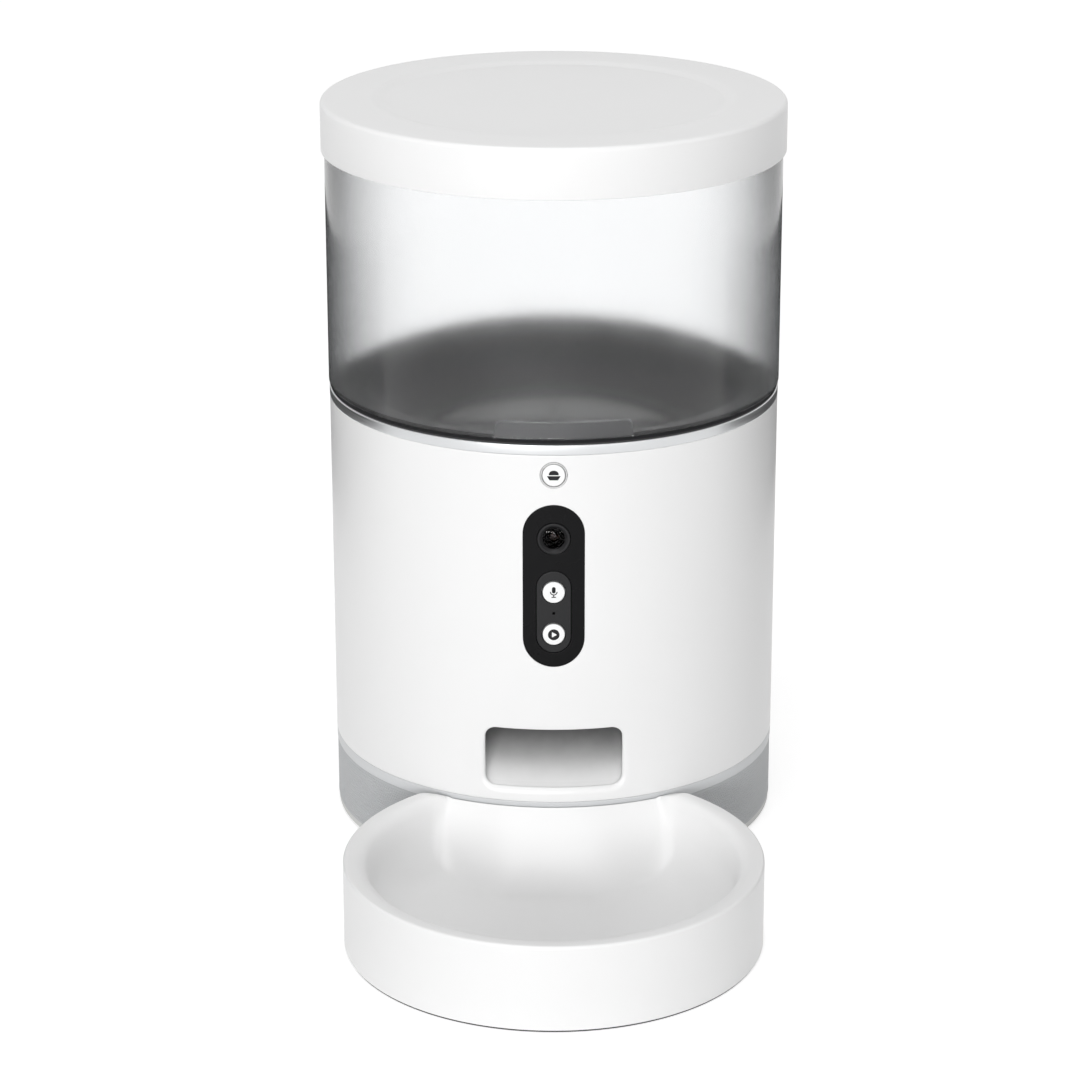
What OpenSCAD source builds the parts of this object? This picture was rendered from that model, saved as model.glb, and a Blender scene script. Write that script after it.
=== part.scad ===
// Pet feeder with camera: a round body with a see-through food container on top, a rotor that meters
// the food into a chute, a camera and buttons in the front, and a loose bowl that fits round the base.
// Millimetres, +Z up, front to -Y. The origin is on the floor, in the middle of the whole outline.

/* [Body] */
// Outside diameter of the body shell
body_d = 190; // [184:1:210]
// Height of the body shell
shell_h = 150.8; // [147:0.2:175]
// Wall of the body shell
shell_wall = 2.5; // [2:0.1:3.5]
// Height of the lower edge of the body shell above the floor
base_h = 35.1; // [34:0.1:42]
// Height of the metal trim ring on top of the body shell
trim_h = 4.2; // [3:0.1:6]
// Width of the trim ring
trim_w = 6; // [4:0.1:7]
// Thickness of the top deck
deck_t = 2; // [1.6:0.1:2.6]
// Thickness of the frame plate in the middle of the body
frame_t = 3; // [2.4:0.1:4]

/* [Base] */
// Height that the rubber feet stand out below the base plate
foot_h = 1.5; // [1:0.1:3]
// Diameter of a rubber foot
foot_d = 14; // [10:0.5:18]
// Thickness of the base plate
plate_t = 2.6; // [2.2:0.1:4]
// Wall of the upright rim of the base plate
base_wall = 2.4; // [1.8:0.1:3]
// Height of the pale ring between the speaker skirt and the body shell
ring_h = 4.6; // [3:0.1:6]
// Step of the speaker skirt behind the face of the body shell
skirt_step = 0.25; // [0.1:0.05:0.6]
// Diameter of the speaker
speaker_d = 26; // [20:1:27]
// Depth of the speaker
speaker_t = 11; // [8:0.5:14]
// Thickness of the circuit boards
board_t = 1.6; // [1:0.1:2]

/* [Container and lid] */
// Height of the food container
container_h = 116; // [90:1:160]
// Wall of the food container
container_wall = 2.2; // [1.6:0.1:3]
// Step of the food container beyond the face of the body shell
container_step = 0.4; // [0.2:0.05:0.8]
// Height of the gasket under the hopper tray
gasket_h = 0.8; // [0.5:0.1:1.5]
// Thickness of the flange of the hopper tray
flange_t = 1.4; // [1:0.1:2.5]
// Height of the lid at its edge
lid_h = 21; // [16:0.5:30]
// Thickness of the lid's top
lid_t = 3; // [2.6:0.1:5]
// Wall of the lid's skirt
lid_wall = 1; // [0.8:0.1:2]
// Radius of the lid's top edge
lid_edge = 2; // [1:0.1:2.5]
// Diameter of the shallow dish in the lid's top
dish_d = 146; // [100:1:160]
// Depth of that dish
dish_depth = 1.2; // [0.5:0.1:1.5]
// Depth of the ring under the lid that carries the seal
plug_h = 14; // [10:0.5:20]
// Height of the lid seal
seal_h = 3; // [2:0.1:5]

/* [Hopper and rotor] */
// Width of the level shelf round the hopper tray
shelf_w = 13; // [10:0.5:16]
// Thickness of the hopper tray
tray_t = 2; // [1.6:0.1:2.4]
// Width of the tab at the front of the hopper tray
tab_w = 55; // [40:1:60]
// Height of that tab
tab_h = 6.6; // [5:0.1:9]
// Place of that tab to the right of the middle
tab_x = 4; // [0:0.5:8]
// Inside diameter of the rotor housing
housing_d = 120; // [112:1:124]
// Inside depth of the rotor housing
housing_h = 42; // [38:0.5:46]
// Wall of the rotor housing
housing_wall = 2; // [1.6:0.1:2.6]
// Number of pockets of the rotor
pockets = 6; // [4:1:8]
// Diameter of the drive shaft
shaft_d = 8; // [6:0.2:9]
// Length of the soft tip of a rotor vane
tip_len = 9; // [6:0.5:12]

/* [Drive] */
// Gear module
gear_module = 1; // [0.9:0.05:1.1]
// Teeth of the rotor gear
rotor_teeth = 48; // [40:1:50]
// Teeth of the drive pinion
pinion_teeth = 12; // [12:1:16]
// Face width of the gears
gear_w = 6; // [4:0.5:8]
// Diameter of the gearbox
gearbox_d = 32; // [28:1:34]
// Height of the gearbox
gearbox_h = 20; // [14:1:24]
// Diameter of the motor
motor_d = 24; // [20:1:28]
// Length of the motor
motor_h = 30; // [24:1:36]

/* [Chute] */
// Width of the outlet in the body shell
outlet_w = 59.6; // [44:0.2:64]
// Height of the outlet
outlet_h = 26.3; // [20:0.1:28]
// Height of the outlet above the lower edge of the body shell
outlet_lift = 6; // [5:0.1:9]
// Corner radius of the outlet
outlet_corner = 4.5; // [2:0.1:8]
// Wall of the chute
chute_wall = 1.8; // [1.4:0.1:2.4]
// Depth of the drop hole under the rotor, front to back
drop_depth = 27; // [22:0.5:28]
// Width of the drop hole under the rotor
drop_w = 50; // [40:1:54]

/* [Camera and buttons] */
// Width of the black camera panel
panel_w = 25.2; // [22:0.2:30]
// Height of the camera panel
panel_h = 69.8; // [66:0.2:72]
// Distance from the top of the body shell down to the middle of the camera panel
panel_drop = 55.8; // [54:0.1:57]
// Width of the button panel
button_panel_w = 14.4; // [13:0.2:16]
// Height of the button panel
button_panel_h = 35.5; // [34:0.1:38]
// Middle of the button panel below the middle of the camera panel
button_panel_drop = 11.05; // [10.5:0.05:11.5]
// Distance between the record button and the play button
button_pitch = 18.15; // [16:0.05:19]
// Diameter of the record and play buttons
button_d = 9; // [7:0.1:9.6]
// Travel of the buttons
press = 0.7; // [0.4:0.1:0.8]
// Height of the lens above the middle of the camera panel
lens_rise = 20.4; // [19:0.1:22]
// Diameter of the ring round the lens
lens_ring_d = 13.3; // [12:0.1:16]
// Diameter of the lens glass
lens_d = 9.1; // [7:0.1:10]
// Diameter of the feed button
feed_d = 9.2; // [7:0.1:11]
// Width of the ring round the feed button
feed_ring_w = 0.55; // [0.4:0.05:1]
// Distance from the top of the body shell down to the feed button
feed_drop = 8.4; // [8.2:0.1:9]

/* [Bowl] */
// Outside diameter of the bowl
bowl_d = 168.4; // [150:0.2:180]
// Height of the bowl's rim
bowl_h = 36.2; // [33:0.1:42]
// Distance of the bowl's middle in front of the body shell
bowl_reach = 54.4; // [50:0.1:62]
// Width of the bowl's rim
rim_w = 6.4; // [5:0.1:9]
// Height of the bowl's floor
bowl_floor = 7.6; // [6:0.1:10]
// Wall of the bowl
bowl_wall = 2.5; // [2:0.1:3.5]
// Distance that the hump reaches from the bowl's back edge towards the middle
hump_reach = 36; // [32:0.5:38]
// Width of the hump at its foot
hump_w = 73; // [66:0.5:78]
// Distance that the back wall slopes out beside the hump
back_reach = 12; // [9:0.5:15]
// Height of the bowl's own feet
bowl_foot_h = 1; // [0.6:0.1:2]

/* [Fits and screws] */
// Gap between pieces that are fixed together
fit = 0.2; // [0.1:0.05:0.3]
// Gap between pieces that move past each other
play = 0.4; // [0.3:0.05:0.5]
// Gap of a turning shaft in its hole
running_fit = 0.04; // [0.02:0.01:0.08]
// Gap between the bowl and the base
bowl_gap = 0.8; // [0.6:0.1:1.5]
// Thread diameter of the screws
screw_d = 2.8; // [2.4:0.1:3.2]
// Diameter of a screw head
screw_head_d = 5.4; // [4.6:0.1:6]
// Height of a screw head
screw_head_h = 1.8; // [1.4:0.1:2]
// Diameter of a screw boss
boss_d = 9; // [8:0.5:10]
// Number of facets that a full circle is previewed with
$fn = 72; // [48:12:120]

/* [Hidden] */

// Radii of the round pieces, from the body outwards
body_r = body_d / 2;
shell_in = body_r - shell_wall;
container_r = body_r + container_step;
container_in = container_r - container_wall;
lid_in = container_r + play;
lid_r = lid_in + lid_wall;
bowl_r = bowl_d / 2;
tower_y = (body_r + bowl_reach + bowl_r - lid_r) / 2;
bowl_y = tower_y - body_r - bowl_reach;
reach = 2 * body_d;

// Heights from the floor up
plate_top = foot_h + plate_t;
shell_top = base_h + shell_h;
trim_top = shell_top + trim_h;
flange_z = trim_top + gasket_h;
container_z = flange_z + flange_t;
container_top = container_z + container_h;
lid_under = container_top + play;
lid_top = lid_under + lid_t;

// Ring under the lid, and the seal round it
seal_w = 1.6;
seal_seat = 1.5;
plug_r = container_in - play - seal_w - fit;
plug_wall = 2.4;
plug_low = lid_under - plug_h;

// Base: the rim of the base plate centres the shell, and the skirt stands on the lip of the plate
base_out = shell_in - fit;
base_in = base_out - base_wall;
spigot_h = 3;
lip_h = plate_t;
skirt_in = base_out + fit;
skirt_out = body_r - skirt_step;
skirt_top = base_h - ring_h;
lip_r = skirt_out - skirt_step;
foot_seat = plate_t / 2;
foot_ring = base_in - foot_d / 2 - 4;
foot_angles = [30, 150, 235, 305];
column_d = boss_d + 1;
column_ring = base_in - column_d / 2 + base_wall / 2;
column_angles = [55, 125, 205, 335];

// Body: bosses grow from the wall, the frame plate rests on them, and the deck rests on a ledge
boss_ring = shell_in - boss_d / 2 + shell_wall / 2;
frame_boss_h = 14;
frame_angles = [25, 155, 215, 325];
deck_top = shell_top - fit;
ledge_top = deck_top - deck_t;
ledge_h = 2;
ledge_w = 2.6;

// Hopper tray: a level shelf, a slope, and a level floor that is open at the back
tray_in = container_in - 1.8;
shelf_r = tray_in - shelf_w;
shelf_drop = 1;
housing_r = housing_d / 2;
housing_out = housing_r + housing_wall;
housing_top = shell_top - 14;
tray_floor = housing_top + 0.6;
tray_floor_r = housing_r + 1;
tray_hole_r = housing_r - 8;
tray_bar = 8;
spigot_w = 1.6;
spigot_rise = 1.2;

// Rotor housing, frame plate and drive, hung from the top of the housing
housing_floor_t = 2.5;
housing_floor = housing_top - housing_h;
frame_top = housing_floor - housing_floor_t;
frame_z = frame_top - frame_t;
rotor_r = housing_r - 1.4;
rotor_z = housing_floor + 0.6;
rotor_h = housing_h - 6.5;
hub_r = shaft_d / 2 + 6;
vane_t = 2;
tip_t = 1.4;
cap_h = 4;
gear_top = frame_z - 2;
gear_z = gear_top - gear_w;
shaft_r = shaft_d / 2;
bush_r = shaft_r + 2.6;
bush_flange_r = bush_r + 2;
bush_flange_t = 1.2;
pinion_y = gear_module * (rotor_teeth + pinion_teeth) / 2;
pinion_shaft_r = 2.5;
gearbox_top = gear_z - 2.5;
gearbox_z = gearbox_top - gearbox_h;
motor_ring = gearbox_d / 2 + screw_d / 2 + 2.2;
motor_angles = [20, 160, 90];
ear_t = 4;
ear_ring = housing_out + screw_head_d / 2 + 0.8;
ear_angles = [90, 200, 340];

// Drop hole: the front of the housing floor, ahead of the rotor gear
drop_front = -(housing_r - 3);
drop_back = drop_front + drop_depth;

// Chute: its floor falls from the back of the drop hole to the sill of the outlet
outlet_z = base_h + outlet_lift;
outlet_top = outlet_z + outlet_h;
chute_in_w = outlet_w + 0.8;
chute_front = -shell_in;
neck_drop = 8;
bend_drop = 26;
chute_neck = frame_z - neck_drop;
chute_bend = frame_z - bend_drop;
floor_slope = (chute_neck - outlet_z) / (drop_back - chute_front);
roof_slope = (chute_bend - outlet_top) / (drop_front - chute_front);
floor_drop = chute_wall * sqrt(1 + floor_slope * floor_slope);
roof_rise = chute_wall * sqrt(1 + roof_slope * roof_slope);

// Camera panel and buttons, on the front of the body
panel_z = shell_top - panel_drop;
panel_flange = 2;
panel_back = shell_in - fit - panel_flange;
lens_z = panel_z + lens_rise;
button_panel_z = panel_z - button_panel_drop;
record_z = button_panel_z + button_pitch / 2 - 0.55;
play_z = record_z - button_pitch;
microphone_z = (record_z + play_z) / 2;
feed_z = shell_top - feed_drop;
face_y = -body_r;
board_y = -(body_r - 14);
board_w = 28;
board_top = feed_z + 3.4;
board_low = panel_z - panel_h / 2 + 1;
post_x = 9.4;
post_zs = [panel_z + panel_h / 2 - 6.5, panel_z - panel_h / 2 + 6.5];
post_r = 2.2;
small_screw_r = 1;
small_head_h = 1.2;
small_screw_in = 5;
proud = 0.35;
cap_flange_r = 0.9;
cap_flange_t = 1;
switch_t = 3;
stem_r = 1.8;
switch_knob = 0.8;
stem_end = board_y - switch_t - switch_knob - press - 0.2;

// Electronics in the base
board_stand = 6;
main_board_z = plate_top + board_stand;
main_board_w = 76;
main_board_d = 50;
main_board_y = 8;
stand_inset = 5;
inlet_z = plate_top + 12;
inlet_w = 11;
inlet_depth = 12;
inlet_nose_r = 4.4;
inlet_bore_r = 3.1;
inlet_pin_r = 1;
speaker_x = -(base_in - 3);
speaker_z = plate_top + speaker_d / 2 + 1.2;
speaker_rim = 1.5;

// Bowl: its back is cut to the round base, and its hump is a hollow slope that turns by twice the hump's bend
bowl_z = bowl_foot_h;
bowl_back_r = body_r + bowl_gap;
hump_top = base_h - 0.6;
hump_h = hump_top - bowl_floor;
hump_land = 1;
hump_bend = 22;
flank_lean = 56;
flank_wall = bowl_wall / sin(flank_lean);
slope_wall = bowl_wall * [0.7, 0.85];
rim_edge = 1.2;
dish_edge = 1.6;
dish_slope = 3;
dish_round = 12;
bowl_foot_d = 11;
bowl_foot_ring = bowl_r - 25;
bowl_foot_angles = [32, 148, 225, 315];

// Points on an arc about a centre
function arc(centre, r, from, to, steps = 6) = [
    for (k = [0 : steps])
        let (a = from + (to - from) * k / steps)
        centre + r * [cos(a), sin(a)]
];

// Point at a radius and an angle
function polar(r, a) = [r * cos(a), r * sin(a)];

// Angle between the root of an involute on its base circle and its point at radius r
function involute_angle(base, r) =
    let (roll = sqrt(max(0, r * r / (base * base) - 1)))
    roll * 180 / PI - atan(roll);

// Outline of one involute tooth of 20 degrees, with its middle at the given angle
function tooth(teeth, middle) =
    let (
        pitch = gear_module * teeth / 2,
        base = pitch * cos(20),
        tip = pitch + 0.74 * gear_module,
        root = pitch - gear_module,
        low = max(base, root),
        backlash = 0.07 * gear_module / pitch * 180 / PI,
        half = 90 / teeth - backlash + involute_angle(base, pitch),
        radii = [for (k = [0 : 4]) low + (tip - low) * k / 4],
        left = [for (r = radii) polar(r, middle - half + involute_angle(base, r))],
        right = [for (k = [4 : -1 : 0]) polar(radii[k], middle + half - involute_angle(base, radii[k]))],
        foot = half - involute_angle(base, low)
    )
    concat([polar(root, middle - foot)], left, right, [polar(root, middle + foot)]);

// Moves a piece from its own round axis to the axis of the body
module tower() {
    translate([0, tower_y, 0]) children();
}

// Copies a piece to each angle round the axis, at a radius
module around(angles, r) {
    for (a = angles)
        rotate(a)
            translate([r, 0, 0])
                children();
}

module disc(r, low, high) {
    translate([0, 0, low])
        cylinder(r = r, h = high - low);
}

module tube(outer, inner, low, high) {
    difference() {
        disc(outer, low, high);
        disc(inner, low - 1, high + 1);
    }
}

// Rod along Y from front to back
module rod(r, front, back, z, x = 0) {
    translate([x, front, z])
        rotate([-90, 0, 0])
            cylinder(r = r, h = back - front);
}

// Upright pill outline, extruded along Y
module pill(w, h, z, front, back) {
    translate([0, front, z])
        rotate([-90, 0, 0])
            linear_extrude(back - front) {
                square([w, h - w], center = true);
                for (side = [-1, 1])
                    translate([0, side * (h - w) / 2])
                        circle(d = w);
            }
}

// Rectangle with round corners, extruded along Y
module rounded_slot(w, h, corner, z, front, back) {
    translate([0, front, z])
        rotate([-90, 0, 0])
            linear_extrude(back - front) {
                square([w - 2 * corner, h], center = true);
                square([w, h - 2 * corner], center = true);
                for (x = [-1, 1])
                    for (y = [-1, 1])
                        translate([x * (w / 2 - corner), y * (h / 2 - corner)])
                            circle(r = corner);
            }
}

// Part of a round wall that lies inside the children's outline
module wall_patch(outer, inner) {
    intersection() {
        tube(outer, inner, 0, reach);
        children();
    }
}

// Screw with its head below, standing on the floor of its own frame
module screw(length, r = screw_d / 2, head_r = screw_head_d / 2, head_h = screw_head_h) {
    cylinder(r = head_r, h = head_h);
    translate([0, 0, head_h])
        cylinder(r = r, h = length);
}

// Gear with a bore, standing on z = 0
module gear(teeth, w, bore_r) {
    difference() {
        linear_extrude(w)
            polygon([for (k = [0 : teeth - 1]) each tooth(teeth, 360 * k / teeth)]);
        translate([0, 0, -1])
            cylinder(r = bore_r, h = w + 2);
    }
}

// Lid: a cap over the container with a shallow dish on top
module lid_cover() {
    color("white")
        tower()
            rotate_extrude()
                polygon(concat(
                    [[0, lid_under], [lid_in, lid_under], [lid_in, lid_top - lid_h]],
                    [[lid_r, lid_top - lid_h]],
                    arc([lid_r - lid_edge, lid_top - lid_edge], lid_edge, 0, 90),
                    [[dish_d / 2 + 2 * dish_depth, lid_top]],
                    [[dish_d / 2 - 2 * dish_depth, lid_top - dish_depth], [0, lid_top - dish_depth]]
                ));
}

// Ring under the lid, with a foot that keeps the seal on
module lid_plug() {
    color("white")
        tower()
            rotate_extrude()
                polygon([
                    [plug_r - plug_wall, plug_low], [plug_r + seal_w / 2, plug_low],
                    [plug_r + seal_w / 2, plug_low + seal_seat], [plug_r, plug_low + seal_seat],
                    [plug_r, lid_under], [plug_r - plug_wall, lid_under]
                ]);
}

module lid_seal() {
    low = plug_low + seal_seat;
    color("gainsboro")
        tower()
            tube(container_in - play, plug_r + fit / 2, low, low + seal_h);
}

module food_container() {
    color("lightgray", 0.5)
        tower()
            tube(container_r, container_in, container_z, container_top);
}

module container_gasket() {
    color("black")
        tower()
            tube(body_r - 0.4, body_r - trim_w + 1, trim_top, flange_z);
}

// Tray that carries the container: flange, spigot, shelf, slope and a floor open at the back
module hopper_tray() {
    shelf_top = container_z - 0.2;
    color("dimgray")
        tower()
            difference() {
                rotate_extrude()
                    polygon([
                        [0, tray_floor], [tray_floor_r, tray_floor],
                        [shelf_r + tray_t / 2, shelf_top - shelf_drop - tray_t],
                        [body_r - trim_w - play, shelf_top - tray_t],
                        [body_r - trim_w - play, flange_z], [body_r, flange_z], [body_r, container_z],
                        [container_in - fit, container_z], [container_in - fit, container_z + spigot_rise],
                        [container_in - fit - spigot_w, container_z + spigot_rise], [tray_in, shelf_top],
                        [shelf_r, shelf_top - shelf_drop], [tray_floor_r - tray_t / 2, tray_floor + tray_t],
                        [0, tray_floor + tray_t]
                    ]);
                intersection() {
                    disc(tray_hole_r, tray_floor - 1, tray_floor + tray_t + 1);
                    translate([-reach / 2, tray_bar, 0])
                        cube([reach, reach, reach]);
                }
                translate([tab_x - tab_w / 2 - fit, -reach, container_z])
                    cube([tab_w + 2 * fit, reach, reach]);
            }
}

// Tab with round upper corners that stands in a notch of the tray's spigot, behind the container wall
module hopper_tab() {
    corner = 3;
    color("dimgray")
        tower()
            intersection() {
                wall_patch(container_in - play, container_in - fit - spigot_w - 1.6)
                    translate([tab_x, 0, 0])
                        rounded_slot(tab_w, 2 * tab_h, corner, container_z, -reach, 0);
                disc(reach, container_z, reach);
            }
}

module trim_ring() {
    color("silver")
        tower()
            tube(body_r + 0.1, body_r - trim_w, shell_top, trim_top);
}

// Body shell with the outlet, the camera panel's opening and the feed button's hole
module body_shell() {
    color("white")
        tower()
            difference() {
                union() {
                    tube(body_r, shell_in, base_h, shell_top);
                    difference() {
                        tube(shell_in + shell_wall / 2, shell_in - ledge_w, ledge_top - ledge_h, ledge_top);
                        translate([-board_w / 2 - 1, -reach, 0])
                            cube([board_w + 2, reach, reach]);
                    }
                    around(frame_angles, boss_ring)
                        disc(boss_d / 2, frame_z - frame_boss_h, frame_z);
                    around(column_angles, column_ring) {
                        disc(column_d / 2, base_h + spigot_h + fit, base_h + spigot_h + frame_boss_h);
                        translate([0, -column_d / 2, base_h + spigot_h + fit])
                            cube([body_r - column_ring, column_d, frame_boss_h - fit]);
                    }
                }
                tube(reach, body_r, 0, reach);
                around(frame_angles, boss_ring)
                    disc(screw_d / 2 + fit / 2, frame_z - frame_boss_h + 2, frame_z + 1);
                around(column_angles, column_ring)
                    disc(screw_d / 2 + fit / 2, base_h, base_h + spigot_h + frame_boss_h - 2);
                pill(panel_w, panel_h, panel_z, -reach, -shell_in / 2);
                rod(feed_d / 2 + feed_ring_w + 2 * fit, -reach, -shell_in / 2, feed_z);
                rounded_slot(outlet_w, outlet_h, outlet_corner, (outlet_z + outlet_top) / 2, -reach, 0);
            }
}

// Deck that closes the body round the rotor housing, under the hopper tray
module top_deck() {
    edge = shell_in - fit;
    seat = edge - ledge_w - 1;
    bend = shelf_r - 1;
    inner = housing_out + fit;
    low = housing_top - 3;
    color("whitesmoke")
        tower()
            rotate_extrude()
                polygon([
                    [edge, ledge_top], [edge, deck_top], [seat, deck_top], [bend, deck_top - deck_t / 2],
                    [inner + deck_t, low + deck_t], [inner, low + deck_t], [inner, low],
                    [inner + deck_t, low], [bend, ledge_top - deck_t / 2], [seat, ledge_top]
                ]);
}

// Hole in the front of the housing floor that the rotor pushes the food to
module drop_hole(low, high) {
    translate([-drop_w / 2, drop_front, low])
        cube([drop_w, drop_depth, high - low]);
}

module rotor_housing() {
    color("whitesmoke")
        tower()
            difference() {
                union() {
                    disc(housing_out, frame_top, housing_top);
                    around(ear_angles, ear_ring)
                        disc(screw_head_d / 2 + 1.4, frame_top, frame_top + ear_t);
                    around(ear_angles, housing_r)
                        translate([0, -screw_head_d / 2 - 1.4, frame_top])
                            cube([ear_ring - housing_r, screw_head_d + 2.8, ear_t]);
                }
                disc(housing_r, housing_floor, housing_top + 1);
                disc(bush_flange_r + fit, frame_top - 1, housing_floor + 1);
                intersection() {
                    drop_hole(frame_top - 1, housing_floor + 1);
                    disc(housing_r - 1, 0, reach);
                }
                around(ear_angles, ear_ring)
                    disc(screw_d / 2 + fit, frame_top - 1, frame_top + ear_t + 1);
            }
}

module housing_screws() {
    color("silver")
        tower()
            around(ear_angles, ear_ring)
                translate([0, 0, frame_top + ear_t + screw_head_h])
                    mirror([0, 0, 1])
                        screw(ear_t + frame_t);
}

// Rotor: a hub with stiff vanes, which carry soft tips
module rotor() {
    color("gainsboro")
        tower()
            difference() {
                union() {
                    disc(hub_r, rotor_z, rotor_z + rotor_h);
                    for (k = [0 : pockets - 1])
                        rotate(360 * (k + 0.5) / pockets)
                            translate([hub_r - vane_t, -vane_t / 2, rotor_z])
                                cube([rotor_r - tip_len - hub_r + vane_t, vane_t, rotor_h]);
                }
                disc(shaft_r + running_fit, 0, reach);
            }
}

module rotor_tips() {
    color("dimgray")
        tower()
            for (k = [0 : pockets - 1])
                rotate(360 * (k + 0.5) / pockets)
                    translate([rotor_r - tip_len, -tip_t / 2, rotor_z])
                        cube([tip_len - 0.4, tip_t, rotor_h]);
}

module rotor_cap() {
    low = rotor_z + rotor_h;
    color("white")
        tower()
            difference() {
                rotate_extrude()
                    polygon([
                        [0, low], [hub_r, low], [hub_r, low + cap_h / 2],
                        [hub_r - cap_h, low + cap_h], [0, low + cap_h]
                    ]);
                disc(shaft_r + running_fit, low - 1, low + cap_h / 2 + fit);
            }
}

module drive_shaft() {
    color("silver")
        tower()
            disc(shaft_r, gear_z - 1, rotor_z + rotor_h + cap_h / 2);
}

// Flanged bush that carries the drive shaft in the frame plate
module shaft_bush() {
    color("goldenrod")
        tower()
            difference() {
                union() {
                    disc(bush_r, frame_z, frame_top);
                    disc(bush_flange_r, frame_top, frame_top + bush_flange_t);
                }
                disc(shaft_r + running_fit, 0, reach);
            }
}

module rotor_gear() {
    color("ivory")
        tower()
            translate([0, 0, gear_z])
                rotate(90)
                    gear(rotor_teeth, gear_w, shaft_r + running_fit);
}

module drive_pinion() {
    color("ivory")
        tower()
            translate([0, pinion_y, gear_z])
                rotate(180 / pinion_teeth - 90)
                    gear(pinion_teeth, gear_w, pinion_shaft_r + running_fit);
}

module pinion_shaft() {
    color("silver")
        tower()
            translate([0, pinion_y, 0])
                disc(pinion_shaft_r, gearbox_top - gearbox_h / 2 + fit, gear_top);
}

module motor_gearbox() {
    color("slategray")
        tower()
            translate([0, pinion_y, 0])
                difference() {
                    union() {
                        disc(gearbox_d / 2, gearbox_z, gearbox_top);
                        around(motor_angles, motor_ring)
                            disc(screw_head_d / 2 + 0.8, gearbox_top - ear_t, gearbox_top);
                        around(motor_angles, 0)
                            translate([0, -screw_head_d / 2, gearbox_top - ear_t])
                                cube([motor_ring, screw_head_d, ear_t]);
                    }
                    disc(pinion_shaft_r + running_fit, gearbox_top - gearbox_h / 2, gearbox_top + 1);
                    around(motor_angles, motor_ring)
                        disc(screw_d / 2 + fit, 0, reach);
                }
}

module drive_motor() {
    color("silver")
        tower()
            translate([0, pinion_y, 0]) {
                disc(motor_d / 2, gearbox_z - motor_h, gearbox_z);
                disc(motor_d / 5, gearbox_z - motor_h - 2, gearbox_z - motor_h);
            }
}

module motor_screws() {
    length = ear_t + frame_z - gearbox_top + frame_t / 2;
    color("silver")
        tower()
            translate([0, pinion_y, 0])
                around(motor_angles, motor_ring)
                    translate([0, 0, gearbox_top - ear_t - screw_head_h])
                        screw(length);
}

// Frame plate across the body: it carries the rotor housing above and the drive and the chute below
module mid_frame() {
    camera_room = board_w + 8;
    post_d = screw_head_d + 1.6;
    color("lightgray")
        tower()
            difference() {
                union() {
                    disc(shell_in - fit, frame_z, frame_top);
                    translate([0, pinion_y, 0])
                        around(motor_angles, motor_ring)
                            disc(post_d / 2, gearbox_top, frame_z);
                }
                disc(bush_r + running_fit, 0, reach);
                drop_hole(frame_z - 1, frame_top + 1);
                translate([-camera_room / 2, -reach, 0])
                    cube([camera_room, reach - housing_out - 1, reach]);
                around(frame_angles, boss_ring)
                    disc(screw_d / 2 + fit, 0, reach);
                around(ear_angles, ear_ring)
                    disc(screw_d / 2 + fit / 2, 0, reach);
                translate([0, pinion_y, 0])
                    around(motor_angles, motor_ring)
                        disc(screw_d / 2 + fit / 2, 0, reach);
            }
}

module frame_screws() {
    color("silver")
        tower()
            around(frame_angles, boss_ring)
                translate([0, 0, frame_top + screw_head_h])
                    mirror([0, 0, 1])
                        screw(frame_t + frame_boss_h - 4);
}

// Side outline of the chute, drawn as (y, z): its way when the wall is 0, its outside otherwise
module chute_outline(wall, floor_shift, roof_shift) {
    polygon([
        [chute_front - 5, outlet_z - 5 * floor_slope - floor_shift],
        [drop_back + wall, chute_neck + wall * floor_slope - floor_shift],
        [drop_back + wall, frame_z], [drop_front - wall, frame_z],
        [drop_front - wall, chute_bend - wall * roof_slope + roof_shift],
        [chute_front - 5, outlet_top - 5 * roof_slope + roof_shift]
    ]);
}

module chute_body(w, wall, floor_shift, roof_shift) {
    translate([-w / 2, 0, 0])
        rotate([90, 0, 90])
            linear_extrude(w)
                chute_outline(wall, floor_shift, roof_shift);
}

module discharge_chute() {
    color("white")
        tower()
            intersection() {
                difference() {
                    chute_body(chute_in_w + 2 * chute_wall, chute_wall, floor_drop, roof_rise);
                    chute_body(chute_in_w, 0, 0, 0);
                }
                disc(shell_in - fit, base_h + spigot_h + fit, frame_z);
            }
}

// Camera panel: a black pill flush with the body, a flange behind the wall and posts for the board
module camera_panel() {
    color("black")
        tower()
            difference() {
                union() {
                    wall_patch(body_r, panel_back)
                        pill(panel_w - 2 * fit, panel_h - 2 * fit, panel_z, -reach, 0);
                    wall_patch(shell_in - fit, panel_back)
                        pill(panel_w + 2 * panel_flange, panel_h + 2 * panel_flange, panel_z, -reach, 0);
                    for (z = post_zs)
                        for (side = [-1, 1])
                            rod(post_r, -panel_back - 0.2, board_y, z, side * post_x);
                }
                rod(lens_ring_d / 2 + fit, -reach, 0, lens_z);
                pill(button_panel_w, button_panel_h, button_panel_z, -reach, 0);
                for (z = post_zs)
                    for (side = [-1, 1])
                        rod(small_screw_r + fit / 2, board_y - small_screw_in - 1, 0, z, side * post_x);
            }
}

module lens_ring() {
    color("darkslategray")
        tower()
            difference() {
                rod(lens_ring_d / 2, face_y - proud, face_y + 2, lens_z);
                rod(lens_d / 2 + fit, face_y - 1, face_y + 3, lens_z);
            }
}

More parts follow.
